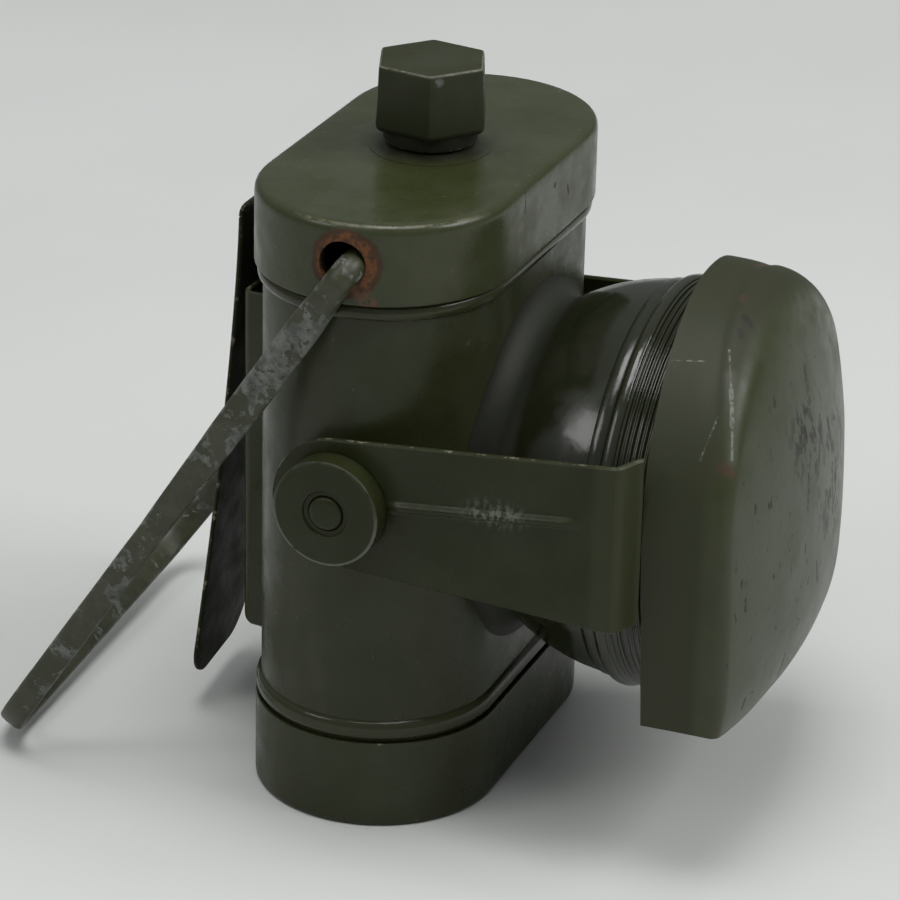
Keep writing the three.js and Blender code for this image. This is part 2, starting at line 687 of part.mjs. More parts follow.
// Lets the front fall back towards the open bottom
function fallen(geometry) {
  const points = geometry.getAttribute('position');
  for (let i = 0; i < points.count; i += 1) {
    const below = Math.min(hoodLegLength + overrun, Math.max(0, -points.getZ(i)));
    const down = (below / hoodLegLength) ** hoodFallPower;
    const wall = hoodWallFall * Math.min(1, -points.getY(i) / hoodWallDepth);
    const dome = -points.getY(i) > hoodWallDepth / 2 ? hoodDomeFall * domeShare(points.getX(i)) : 0;
    points.setY(i, points.getY(i) + down * (wall + dome));
  }
  return geometry;
}
const hoodHalfLength = hoodLegLength / 2 + overrun;
const hoodBlank = obround(
  [...hoodOutline(hoodSheet).reverse(), ...hoodOutline(0)], hoodHalfLength, hoodSteps, legSteps)
  .rotateX(Math.PI / 2).rotateY(Math.PI / 2).translate(0, 0, -hoodHalfLength);
piece('hood_shell', cut(fallen(hoodBlank), box(
  [-hoodHalfWidth - overrun, -hoodWallDepth - hoodDome - overrun, -2 * hoodHalfLength - hoodHalfWidth],
  [hoodHalfWidth + overrun, overrun, 0],
).rotateX(hoodFootSlope * degrees).translate(0, 0, -hoodLegLength)), 'enamel', hood);

// Hood arms: flat strips with a round end at the pivot, a rib, and a step inwards to the hood's rim

const caseEnd = caseHalfFlat + caseRadius;
const washerFace = caseEnd + fit;
const armInner = washerFace + washerThickness + fit;
const armOuter = armInner + armThickness;
const bossFace = armOuter + fit;
const pinFace = bossFace + bossThickness + fit;
const atPivot = (geometry) => geometry.translate(0, -pivotForward, hoodPivotHeight);
const ring = (radius, from, to, side) => atPivot(turnedSide(sleeveOutline(pinRadius + fit, radius, from, to), side));

for (const [side, end] of [[-1, 'left'], [1, 'right']]) {
  const rimDepth = hoodRimDepth - side * hoodHalfWidth * Math.sin(hoodYaw * degrees);
  const rimPlane = (hoodHalfWidth - hoodSheet / 2) * Math.cos(hoodYaw * degrees);
  const fold = rimDepth - armStep;
  const topRise = armTopRise[end];
  const flat = atPivot(plateYZ([
    ...arc([0, 0], armEndRadius, -90, 90, arcSteps),
    [pivotForward - fold, topRise],
    [pivotForward - fold, -armBottomDrop],
  ], armThickness)).translate(side * (armInner + armThickness / 2), 0, 0);
  const step = plate(stripOutline([
    [side * (armInner + armThickness / 2), -fold + armThickness],
    [side * (armInner + armThickness / 2), -fold],
    [side * rimPlane, -rimDepth + armTab + fit],
    [side * rimPlane, -rimDepth + fit],
  ], armThickness), topRise + armBottomDrop)
    .translate(0, 0, hoodPivotHeight + (topRise - armBottomDrop) / 2);
  const ribEnd = fold - pivotForward - armRibMargin;
  const rib = atPivot(stripYZ([
    [-bossRadius - fit - armRibRise, armRibLift],
    [-ribEnd, armRibLift + armRibClimb],
  ], armRibWidth, armThickness)).translate(side * (armInner + armThickness / 2 + armRibRise), 0, 0);
  const hole = atPivot(turnedSide(sleeveOutline(0, pinRadius + fit, armInner - overrun, armOuter + overrun), side));
  piece(`hood_arm_${end}`, cut(join(flat, step, rib), hole), 'enamel');

  const headSeat = caseHalfFlat + Math.sqrt(caseInside ** 2 - (pivotForward + pinHeadRadius) ** 2) - fit;
  piece(`pivot_pin_${end}`, atPivot(turnedSide([
    [0, headSeat - pinHead],
    [pinHeadRadius, headSeat - pinHead],
    [pinHeadRadius, headSeat],
    [pinRadius, headSeat],
    [pinRadius, pinFace],
    [pinEndRadius, pinFace],
    [pinEndRadius - pinEnd / 2, pinFace + pinEnd],
    [0, pinFace + pinEnd],
  ], side)), 'enamel');
  piece(`pivot_washer_${end}`, ring(washerRadius, washerFace, washerFace + washerThickness, side), 'wornSteel');
  piece(`pivot_boss_${end}`, atPivot(turnedSide([
    [pinRadius + fit, bossFace],
    [bossRadius - bossChamfer, bossFace],
    [bossRadius, bossFace + bossChamfer],
    [bossRadius, bossFace + bossThickness - bossChamfer],
    [bossRadius - bossChamfer, bossFace + bossThickness],
    [pinRadius + fit, bossFace + bossThickness],
  ], side, bossSteps)), 'enamel');
}

// Sleeve on the back, open at both ends, and the belt clip that is riveted inside it

const sleeveSeat = caseRadius + fit + sleeveSheet / 2;
const sleeveBack = caseRadius + fit + sleeveDepth - sleeveSheet / 2;
const sleeveHalf = [
  [sleeveHalfWidth - sleeveSheet / 2, sleeveBack],
  [sleeveHalfWidth - sleeveSheet / 2, sleeveSeat],
  [sleeveHalfWidth + sleeveFlange, sleeveSeat],
];
piece('back_sleeve', plate(stripOutline([...mirrored(sleeveHalf), ...sleeveHalf], sleeveSheet), sleeveHeight)
  .translate(0, 0, sleeveBottom + sleeveHeight / 2), 'enamel');

const clipSeat = caseRadius + fit + clipSheet / 2;
const clipIn = clipOutDepth - 2 * clipBendRadius;
const rivetHeights = [['upper', upperRivetHeight], ['lower', lowerRivetHeight]];
const turnedBack = (outline) => turnedForward(outline, smallSteps).rotateZ(Math.PI);
piece('clip_anchor', cut(stripYZ([
  [clipSeat, clipFootHeight],
  [clipSeat, clipKneeHeight],
  ...arc([clipIn + clipBendRadius, clipBendHeight], clipBendRadius, 180, 0, edgeSteps * 2),
  ], clipSheet, clipHalfWidth * 2), ...rivetHeights.map(([, height]) => turnedBack(sleeveOutline(
  0, rivetRadius + fit, caseRadius - overrun, caseRadius + overrun)).translate(0, 0, height))), 'enamel');

const leafTopHeight = clipBendHeight - fit;
const leafLine = Array.from({ length: arcSteps + 1 }, (_, i) =>
  [clipOutDepth + clipTip * (i / arcSteps) ** clipFlare, leafTopHeight - clipLeafDrop * i / arcSteps]);
const leafOutline = plate([
  [clipHalfWidth, leafTopHeight + overrun],
  [-clipHalfWidth, leafTopHeight + overrun],
  ...arc([-clipHalfWidth + clipTipRadius, leafTopHeight - clipLeafDrop + clipTipRadius], clipTipRadius,
    180, 270, edgeSteps),
  ...arc([clipHalfWidth - clipTipRadius, leafTopHeight - clipLeafDrop + clipTipRadius], clipTipRadius,
    270, 360, edgeSteps),
], clipTip * 2 + overrun).rotateX(Math.PI / 2).translate(0, clipOutDepth, 0);
piece('clip_leaf', surface(solid(stripYZ(leafLine, clipSheet, clipHalfWidth * 2 + overrun))
  .intersect(solid(leafOutline))), 'enamel');

const rivetBack = caseInside - fit - rivetHead;
const rivetFront = caseRadius + fit + clipSheet + fit;
for (const [end, height] of rivetHeights) {
  piece(`clip_rivet_${end}`, turnedBack([
    [0, rivetBack],
    [rivetHeadRadius, rivetBack],
    [rivetHeadRadius, rivetBack + rivetHead],
    [rivetRadius, rivetBack + rivetHead],
    [rivetRadius, rivetFront],
    [rivetHeadRadius, rivetFront],
    [rivetHeadRadius, rivetFront + rivetHead],
    [0, rivetFront + rivetHead],
  ]).translate(0, 0, height), 'brass');
}

export default lamp;
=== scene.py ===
# A two-cell bicycle lamp in olive enamel, with its blackout hood, carrying handle and belt clip, dressed round
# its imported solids. Metres, +Z up, the beam towards -Y.

import json
import math
from functools import reduce

import bmesh
import bpy
from mathutils import Matrix, Vector, noise


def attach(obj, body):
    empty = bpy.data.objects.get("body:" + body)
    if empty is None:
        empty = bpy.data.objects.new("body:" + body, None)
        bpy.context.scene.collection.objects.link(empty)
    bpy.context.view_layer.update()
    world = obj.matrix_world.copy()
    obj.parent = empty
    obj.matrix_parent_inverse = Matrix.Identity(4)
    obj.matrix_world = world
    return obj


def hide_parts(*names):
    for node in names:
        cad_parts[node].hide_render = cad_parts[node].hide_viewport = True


bl_info = {
    "name": "Bicycle Lamp",
    "version": (1, 0, 0),
    "blender": (4, 5, 0),
    "location": "View3D > Sidebar > Bicycle Lamp",
    "description": "Dresses a sheet-metal bicycle lamp with its enamel, wear and stage",
    "category": "Object",
}

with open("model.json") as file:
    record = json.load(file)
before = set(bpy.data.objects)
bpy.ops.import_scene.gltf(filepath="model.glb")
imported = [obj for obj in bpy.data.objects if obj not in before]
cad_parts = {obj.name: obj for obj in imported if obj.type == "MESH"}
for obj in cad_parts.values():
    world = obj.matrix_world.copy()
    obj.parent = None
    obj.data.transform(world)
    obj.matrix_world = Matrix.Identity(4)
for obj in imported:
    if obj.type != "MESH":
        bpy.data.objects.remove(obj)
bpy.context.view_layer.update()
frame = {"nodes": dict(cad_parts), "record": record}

mm = 0.001
FIT = 0.3 * mm                      # gap left between neighbouring parts
TURNING_PATH = 5 * mm               # radius of the circle that turned sections are swept along
BEAM = 52.4 * mm                    # height of the beam's axis
PIVOT_Y, PIVOT_Z = -1.7 * mm, 57 * mm       # axis of the hood's pivots
HOLE_Y, HOLE_Z = -1.3 * mm, 95.4 * mm       # axis of the holes in the lid's ends
PIVOT_BORE = 2.9 * mm               # radius of the holes in the arms, bosses and washers
DRILL_PAST = 6 * mm                 # how far a drill stands out past the surface that it cuts


def length(label, value, description):
    return bpy.props.FloatProperty(name=label, description=description, default=value * mm, min=0.0,
                                   unit="LENGTH", precision=5)


def turn(label, value, description):
    return bpy.props.FloatProperty(name=label, description=description, default=math.radians(value), unit="ROTATION")


def colour(label, value, description):
    return bpy.props.FloatVectorProperty(name=label, description=description, default=(*value, 1.0), size=4,
                                         min=0.0, max=1.0, subtype="COLOR")


def share(label, value, description):
    return bpy.props.FloatProperty(name=label, description=description, default=value, min=0.0, subtype="FACTOR")


class LampCaseSizes(bpy.types.PropertyGroup):
    half_flat: length("Half Flat", 17, "Half the length of the case's flat sides")
    radius: length("Radius", 19, "Radius of the case's round ends")
    sheet: length("Sheet", 0.7, "Thickness of the case's sheet metal")
    bead_rise: length("Bead Rise", 0.9, "How far the rolled beads stand out")
    lid_top: length("Lid Top", 102, "Height of the lid's top")
    lid_skirt: length("Lid Skirt", 13, "Height of the lid's skirt")
    lid_edge: length("Lid Edge", 1.8, "Radius of the lid's upper edge")
    cap_height: length("Cap Height", 14.8, "Height of the bottom cap")
    hole_radius: length("Handle Hole", 3.7, "Radius of the holes that the handle hooks into")
    knob_flats: length("Knob Across Flats", 16.9, "Width of the switch knob across its flats")
    knob_height: length("Knob Height", 10.7, "Height of the switch knob's hexagon")


class LampHeadSizes(bpy.types.PropertyGroup):
    height: length("Axis Height", 52.4, "Height of the beam's axis")
    radius: length("Bowl Radius", 31.8, "Radius of the bowl's sphere")
    centre_depth: length("Bowl Centre", 41, "Depth of the sphere's centre in front of the case's middle")
    fillet: length("Solder Fillet", 3.0, "Radius of the solder fillet between the bowl and the case")
    ring_radius: length("Ring Radius", 32.5, "Radius of the lens ring")
    groove: length("Ring Groove", 0.4, "Depth of the lens ring's grooves")


class LampHoodSizes(bpy.types.PropertyGroup):
    half_width: length("Half Width", 34.4, "Half the hood's width at its back rim")
    wall: length("Wall Depth", 13.8, "Depth of the hood's side wall")
    dome: length("Dome", 5.65, "How far the hood's front bulges")
    edge: length("Edge Radius", 2.0, "Radius between the wall and the front")
    sheet: length("Sheet", 0.9, "Thickness of the hood's sheet metal")
    leg: length("Leg", 27.6, "Length from the arch's centre down to the open bottom")
    arm_sheet: length("Arm Sheet", 1.1, "Thickness of the hood's arms")
    rib_rise: length("Rib Rise", 0.8, "How far the rib stands out of an arm")
    boss_radius: length("Boss Radius", 8.6, "Radius of the round bosses over the arms' ends")


class LampHandleSizes(bpy.types.PropertyGroup):
    length: length("Arm Length", 110.8, "Length of the handle's arms")
    width: length("Width", 5.3, "Width of the flattened rod")
    thickness: length("Thickness", 1.8, "Thickness of the flattened rod")
    rod: length("Rod Radius", 2.25, "Radius of the rod's round ends")
    half_span: length("Half Span", 38.9, "Distance from the lamp's middle to an arm's middle")
    tilt: turn("Tilt", 34.2, "Angle back from hanging straight down")


class LampFinishes(bpy.types.PropertyGroup):
    enamel: colour("Enamel", (0.024, 0.0285, 0.0095), "Dark olive-green enamel")
    enamel_light: colour("Faded Enamel", (0.032, 0.037, 0.016), "Faded enamel")
    enamel_gloss: share("Enamel Roughness", 0.31, "Roughness of the enamel")
    bare: colour("Bare Metal", (0.17, 0.155, 0.115), "Metal that shows through the wear")
    primer: colour("Chip", (0.006, 0.006, 0.004), "Dark chips in the enamel")
    zinc: colour("Zinc", (0.15, 0.16, 0.14), "Grey plating on the handle")
    wear: share("Wear", 1.0, "How worn the edges are")


class LampStageLook(bpy.types.PropertyGroup):
    floor: colour("Floor", (0.62, 0.63, 0.61), "Plain pale floor")
    sky: share("Sky Strength", 0.46, "Strength of the even light from all round")
    backdrop: share("Backdrop", 0.45, "How pale the space behind the floor looks")
    key: share("Window Power", 2.5, "Power of the soft window light from the left")
    front: share("Front Power", 8.6, "Power of the light from the beam's side")
    top: share("Top Power", 7.6, "Power of the broad light overhead")


# Meshes: sheet and solid forms are lofted through rings of points, each point (x, y, z, wear), and the lens ring and
# the rivets are turned with Geometry Nodes

def rounded(outline, radius, reach, closed=True, steps=3):
    """Rounds the corners of an anticlockwise [a, b] outline; the rounded outward corners carry the wear."""
    made = []
    count = len(outline)
    for i, point in enumerate(outline):
        here = Vector(point[:2])
        if not closed and i in (0, count - 1):
            made.append((*here, 0.0))
            continue
        before, after = Vector(outline[i - 1][:2]), Vector(outline[(i + 1) % count][:2])
        ease = point[2] if len(point) > 2 else radius
        near, far = (before - here), (after - here)
        setback = min(ease, near.length * 0.45, far.length * 0.45)
        room = [min(setback + reach, side.length * 0.49) for side in (near, far)]
        near.normalize()
        far.normalize()
        outward = near.cross(far) < 0
        made.append((*(here + near * room[0]), 0.0))
        for k in range(steps + 1):
            t = k / steps
            corner = (here + near * setback) * (1 - t) ** 2 + here * 2 * t * (1 - t) + (here + far * setback) * t * t
            made.append((*corner, 1.0 if outward else 0.0))
        made.append((*(here + far * room[1]), 0.0))
    return made


def in_mm(*points):
    """The points of an outline that is given in millimetres."""
    return [tuple(value * mm for value in point) for point in points]


def divided(outline, radius, step):
    """The outline with more points along the edges that lie on a radius."""
    made = []
    for here, after in zip(outline, outline[1:] + outline[:1]):
        made.append(here)
        if min(here[0], after[0]) > radius - 0.01 * mm:
            count = int(abs(after[1] - here[1]) / step)
            made += [tuple(a + (b - a) * k / (count + 1) for a, b in zip(here, after)) for k in range(1, count + 1)]
    return made


def obround_rings(outline, half_flat, steps=28, flats=8):
    """Rings of an outline [radius, height, wear] round an obround of two flats and two round ends."""
    stations = []
    for side in (1, -1):
        for i in range(steps + 1):
            angle = math.pi * (i / steps - 0.5) + (math.pi if side < 0 else 0)
            stations.append((side * half_flat, math.cos(angle), math.sin(angle)))
        stations += [(side * half_flat * (1 - 2 * i / flats), 0.0, float(side)) for i in range(1, flats)]
    return [[(x + r * c, r * s, z, worn) for x, c, s in stations] for r, z, worn in outline]


def turned_rings(outline, place, steps=96):
    """Rings of an outline [radius, distance, wear] about an axis: place takes (across, up, along) to a point."""
    angles = steps_of(2 * math.pi, steps)[:-1]
    return [[(*place(r * math.cos(a), r * math.sin(a), h), worn) for a in angles] for r, h, worn in outline]


# Places for turned forms, from (across, up, along) to a point

def upward(a, b, h):
    return a, b, h


def forward(height):
    return lambda a, b, h: (a, -h, height + b)


def sideways(side, y, z):
    return lambda a, b, h: (side * h, y + a * side, z + b)


def loft(rings, ends="cap"):
    """Points and faces through rings of equal count; ends is cap, loop or open."""
    count = len(rings[0])
    points = [point for ring in rings for point in ring]
    faces = []
    rows = len(rings) if ends == "loop" else len(rings) - 1
    for i in range(rows):
        low, high = i * count, (i + 1) % len(rings) * count
        faces += [(low + j, low + (j + 1) % count, high + (j + 1) % count, high + j) for j in range(count)]
    if ends == "cap":
        faces.append(tuple(reversed(range(count))))
        faces.append(tuple(range((len(rings) - 1) * count, len(rings) * count)))
    return points, faces


def heading(points, i):
    """The direction of a line of points at one of them."""
    return (points[min(i + 1, len(points) - 1)] - points[max(i - 1, 0)]).normalized()


def steps_of(angle, count, first=0):
    """Even steps of an angle, the last of them the whole of it."""
    return [angle * k / count for k in range(first, count + 1)]


def between(start, end, count, first=0):
    """Even steps from one value to another."""
    return [start + (end - start) * k / count for k in range(first, count + 1)]


def joined(*parts):
    """Several (points, faces) pairs as one."""
    points, faces = [], []
    for some_points, some_faces in parts:
        start = len(points)
        points += some_points
        faces += [tuple(start + i for i in face) for face in some_faces]
    return points, faces


def make_mesh(name, points, faces):
    """A mesh whose points carry their wear as an attribute."""
    mesh = bpy.data.meshes.new(name)
    mesh.from_pydata([point[:3] for point in points], [], faces)
    worn = mesh.attributes.new("wear", "FLOAT", "POINT")
    worn.data.foreach_set("value", [point[3] for point in points])
    return cleaned(mesh)


def cleaned(mesh):
    """The mesh with its doubles merged and its faces turned outwards."""
    shell = bmesh.new()
    shell.from_mesh(mesh)
    bmesh.ops.remove_doubles(shell, verts=shell.verts, dist=0.002 * mm)
    bmesh.ops.dissolve_degenerate(shell, edges=shell.edges, dist=0.001 * mm)
    bmesh.ops.recalc_face_normals(shell, faces=shell.faces)
    shell.to_mesh(mesh)
    shell.free()
    return mesh


def wired(tree, kind, inputs=None, settings=None):
    """Adds a node to a tree, with its settings and its inputs, each a value or another node's socket."""
    made = tree.nodes.new(kind)
    for key, value in (settings or {}).items():
        setattr(made, key, value)
    for key, value in (inputs or {}).items():
        if isinstance(value, bpy.types.NodeSocket):
            tree.links.new(value, made.inputs[key])
        else:
            made.inputs[key].default_value = value
    return made


def turned_mesh(name, outline, place, steps=96, ends="loop"):
    """A mesh turned about an axis from an outline [radius, distance, wear]."""
    return make_mesh(name, *loft(turned_rings(outline, place, steps), ends))


def drilled(mesh, *drills):
    """The mesh with holes cut by closed tools, each a (points, faces) pair."""
    blank = bpy.data.objects.new("blank", mesh)
    tool = bpy.data.objects.new("tool", make_mesh("tool", *joined(*drills)))
    for helper in (blank, tool):
        bpy.context.scene.collection.objects.link(helper)
    hole = blank.modifiers.new("hole", "BOOLEAN")
    hole.operation = "DIFFERENCE"
    hole.solver = "EXACT"
    hole.object = tool
    made = bpy.data.meshes.new_from_object(blank.evaluated_get(bpy.context.evaluated_depsgraph_get()))
    for helper in (blank, tool):
        bpy.data.objects.remove(helper)
    return made


def rod(radius, start, end, place, steps=48):
    """A closed round bar along an axis, to drill with."""
    outline = [(0.0, start, 0.0), (radius, start, 0.0), (radius, end, 0.0), (0.0, end, 0.0)]
    return loft(turned_rings(outline, place, steps), "open")


def add_piece(name, mesh, material, body, *nodes, slot="enamel", sharp=38):
    """Puts a finished mesh in the scene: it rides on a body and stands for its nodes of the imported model."""
    piece = bpy.data.objects.new(name, mesh)
    bpy.context.scene.collection.objects.link(piece)
    mesh.materials.clear()
    mesh.materials.append(material)
    mesh.shade_smooth()
    mesh.set_sharp_from_angle(angle=math.radians(sharp))
    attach(piece, body)
    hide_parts(*nodes)


class Wires:
    """Short words for the nodes of one tree."""

    def node(self, kind, inputs=None, **settings):
        return wired(self.tree, kind, inputs, settings)

    def math(self, operation, a, b=0.0, clamp=False):
        return wired(self.tree, "ShaderNodeMath", {0: a, 1: b}, {"operation": operation, "use_clamp": clamp}).outputs[0]

    def both(self, *values):
        return reduce(lambda a, b: self.math("MULTIPLY", a, b), values)

    def either(self, *values):
        return reduce(lambda a, b: self.math("MAXIMUM", a, b), values)


class Recipe(Wires):
    """A Geometry Nodes tree, whose inputs are named sizes."""

    def __init__(self, name):
        self.tree = bpy.data.node_groups.new(name, "GeometryNodeTree")
        for flow in ("INPUT", "OUTPUT"):
            self.tree.interface.new_socket("Geometry", in_out=flow, socket_type="NodeSocketGeometry")
        self.given = self.tree.nodes.new("NodeGroupInput")
        self.result = self.tree.nodes.new("NodeGroupOutput")
        self.values = {}

    def size(self, name, value, kind="Float"):
        socket = self.tree.interface.new_socket(name, in_out="INPUT", socket_type=f"NodeSocket{kind}")
        self.values[socket.identifier] = value
        return self.given.outputs[name]

    def shape(self, kind, inputs=None, **settings):
        return self.node("GeometryNode" + kind, inputs, **settings).outputs[0]

    def made(self, geometry, mesh, material):
        """Ends the tree, runs it on a mesh and returns the result as a plain mesh."""
        real = self.shape("RealizeInstances", {"Geometry": geometry})
        done = self.shape("SetMaterial", {"Geometry": real, "Material": material})
        self.tree.links.new(done, self.result.inputs[0])
        blank = bpy.data.objects.new(mesh.name, mesh)
        modifier = blank.modifiers.new(self.tree.name, "NODES")
        modifier.node_group = self.tree
        for identifier, value in self.values.items():
            modifier[identifier] = value
        bpy.context.scene.collection.objects.link(blank)
        seen = bpy.context.evaluated_depsgraph_get()
        plain = bpy.data.meshes.new_from_object(blank.evaluated_get(seen), preserve_all_data_layers=True,
                                                depsgraph=seen)
        blank.modifiers.clear()
        bpy.data.objects.remove(blank)
        plain.name = mesh.name
        return cleaned(plain)


def section_mesh(name, outline, closed):
    """A section as a chain of edges: radius along X, less the path's radius, and depth along Y."""
    mesh = bpy.data.meshes.new(name)
    count = len(outline)
    mesh.from_pydata([(r - TURNING_PATH, h, 0.0) for r, h, _ in outline],
                     [(i, (i + 1) % count) for i in range(count if closed else count - 1)], [])
    worn = mesh.attributes.new("wear", "FLOAT", "POINT")
    worn.data.foreach_set("value", [point[2] for point in outline])
    return mesh


def turned_by_nodes(name, outline, material, height, grooves=None, row=(1, 0.0), sides=96, closed=True):
    """Turns a section [radius, depth, wear] about the axis Y and repeats it up a row, with Geometry Nodes.
    grooves is (how many, wall radius, first depth, spacing, groove depth) of the grooves pressed into a wall."""
    r = Recipe(name + "_turning")
    profile = r.shape("MeshToCurve", {"Mesh": r.given.outputs["Geometry"]})
    if grooves:
        count, radius, first, spacing, deep = (r.size(label, value, kind) for label, value, kind in zip(
            ("Grooves", "Wall Radius", "First Groove", "Groove Spacing", "Groove Depth"), grooves,
            ("Int", "Float", "Float", "Float", "Float")))
        place = r.node("ShaderNodeSeparateXYZ", {0: r.node("GeometryNodeInputPosition").outputs[0]})
        phase = r.math("DIVIDE", r.math("SUBTRACT", place.outputs["Y"], first), spacing)
        nearest = r.math("FLOOR", r.math("ADD", phase, 0.5))
        away = r.math("ABSOLUTE", r.math("SUBTRACT", phase, nearest))
        cut = r.node("ShaderNodeMapRange", {"Value": away, "From Min": 0.44, "From Max": 0.05},
                     interpolation_type="SMOOTHSTEP").outputs["Result"]
        inside = r.both(r.math("GREATER_THAN", nearest, -0.5),
                        r.math("LESS_THAN", nearest, r.math("SUBTRACT", count, 0.5)))
        wall = r.math("GREATER_THAN", place.outputs["X"], r.math("SUBTRACT", radius, TURNING_PATH + 0.05 * mm))
        varied = r.node("FunctionNodeRandomValue", {"Min": 0.62, "Max": 1.0, "ID": nearest,
                                                    "Seed": r.size("Seed", 4, "Int")}, data_type="FLOAT")
        depth = r.both(cut, inside, r.both(wall, varied.outputs["Value"]), deep)
        offset = r.node("ShaderNodeCombineXYZ", {"X": r.math("MULTIPLY", depth, -1.0)}).outputs[0]
        profile = r.shape("SetPosition", {"Geometry": profile, "Offset": offset})
    circle = r.shape("CurvePrimitiveCircle", {"Resolution": r.size("Sides", sides, "Int"),
                                              "Radius": r.size("Path Radius", TURNING_PATH)}, mode="RADIUS")
    path = r.shape("SetCurveNormal", {"Curve": circle}, mode="Z_UP")
    body = r.shape("CurveToMesh", {"Curve": path, "Profile Curve": profile})
    body = r.shape("Transform", {"Geometry": body, "Translation": (0, 0, height), "Rotation": (-math.pi / 2, 0, 0)})
    line = r.shape("MeshLine", {"Count": r.size("Repeats", row[0], "Int"), "Start Location": (0, 0, 0),
                                "Offset": r.node("ShaderNodeCombineXYZ", {"Z": r.size("Pitch", row[1])}).outputs[0]})
    repeated = r.shape("InstanceOnPoints", {"Points": line, "Instance": body})
    return r.made(repeated, section_mesh(name, outline, closed), material)


def uneven(mesh, amount, size, seed):
    """Pushes the points in and out a little along their normals, as hand-pressed sheet is."""
    offsets = [noise.noise((vertex.co / size) + Vector((seed, 0, 0))) * amount for vertex in mesh.vertices]
    normals = [vertex.normal.copy() for vertex in mesh.vertices]
    for vertex, normal, offset in zip(mesh.vertices, normals, offsets):
        vertex.co += normal * offset
    return mesh


# Materials

class Wiring(Wires):
    """The tree of one material."""

    def __init__(self, name):
        self.material = bpy.data.materials.new(name)
        self.material.use_nodes = True
        self.tree = self.material.node_tree
        self.tree.nodes.clear()
        self.out = self.tree.nodes.new("ShaderNodeOutputMaterial")
        self.place = self.tree.nodes.new("ShaderNodeTexCoord").outputs["Object"]

    def node(self, kind, inputs=None, **settings):
        return wired(self.tree, "ShaderNode" + kind, inputs, settings)

    def vector(self, operation, a, b=(0, 0, 0)):
        made = self.node("VectorMath", {0: a, 1: b}, operation=operation)
        return made.outputs["Value" if operation in {"LENGTH", "DISTANCE", "DOT_PRODUCT"} else "Vector"]

    def moved(self, offset=(0, 0, 0), scale=(1, 1, 1)):
        return self.node("Mapping", {"Vector": self.place, "Location": offset, "Scale": scale}).outputs[0]

    def noise(self, grain, detail, rough, where=None, warp=0.0):
        """Noise with a grain of so many millimetres."""
        return self.node("TexNoise", {"Vector": where or self.place, "Scale": 1 / (grain * mm), "Detail": detail,
                                      "Roughness": rough, "Distortion": warp}).outputs["Fac"]

    def ramp(self, value, low, high, to_low=0.0, to_high=1.0):
        return self.node("MapRange", {"Value": value, "From Min": low, "From Max": high, "To Min": to_low,
                                      "To Max": to_high}, interpolation_type="SMOOTHSTEP").outputs["Result"]

    def span(self, place, low, high, to_low=0.0, to_high=1.0):
        """A ramp between two places along an axis, in millimetres."""
        return self.ramp(place, low * mm, high * mm, to_low, to_high)

    def band(self, place, start, full, falling, end):
        """1 from one place to another along an axis, with soft ends, in millimetres."""
        return self.both(self.span(place, start, full), self.span(place, end, falling))

    def patches(self, levels, *grain):
        """Noise of a grain, brought from 0 at its low level to 1 at its high one."""
        return self.ramp(self.noise(*grain), *levels)

    def along(self, axis):
        """How far along X, Y or Z a point of the surface is."""
        return self.node("SeparateXYZ", {0: self.place}).outputs[axis]

    def mixed(self, amount, a, b):
        return self.node("Mix", {0: amount, 2: a, 3: b}, data_type="FLOAT").outputs[0]

    def blend(self, amount, a, b):
        return self.node("Mix", {0: amount, 6: a, 7: b}, data_type="RGBA").outputs[2]

    def worn(self):
        """The wear that the mesh's points carry."""
        return self.node("Attribute", attribute_name="wear", attribute_type="GEOMETRY").outputs["Fac"]

    def spot(self, centre, radius, soft=0.5, flat=(1, 1, 1)):
        """1 within a round patch about a point, in millimetres."""
        offset = self.vector("SUBTRACT", self.place, tuple(c * mm for c in centre))
        far = self.vector("LENGTH", self.vector("MULTIPLY", offset, flat))
        return self.ramp(far, radius * mm, radius * mm * (1 - soft))

    def stroke(self, start, end, width, soft=0.6):
        """1 along a straight line between two points, in millimetres."""
        a, b = Vector(start) * mm, Vector(end) * mm
        along = b - a
        offset = self.vector("SUBTRACT", self.place, tuple(a))
        part = self.math("DIVIDE", self.vector("DOT_PRODUCT", offset, tuple(along)), along.length_squared, clamp=True)
        foot = self.node("VectorMath", {0: tuple(along), "Scale": part}, operation="SCALE").outputs["Vector"]
        far = self.vector("DISTANCE", offset, foot)
        return self.ramp(far, width * mm, width * mm * (1 - soft))

    def shade(self, base, rough, metal=0.0, bump=None, strength=0.3, depth=0.1, **fixed):
        """Ends the tree with one surface, with the bump's distance in millimetres."""
        inputs = {"Base Color": base, "Roughness": rough, "Metallic": metal}
        if bump is not None:
            inputs["Normal"] = self.node("Bump", {"Height": bump, "Strength": strength,
                                                  "Distance": depth * mm}).outputs[0]
        inputs.update(fixed)
        surface = self.node("BsdfPrincipled", inputs)
        self.tree.links.new(surface.outputs[0], self.out.inputs["Surface"])
        return self.material


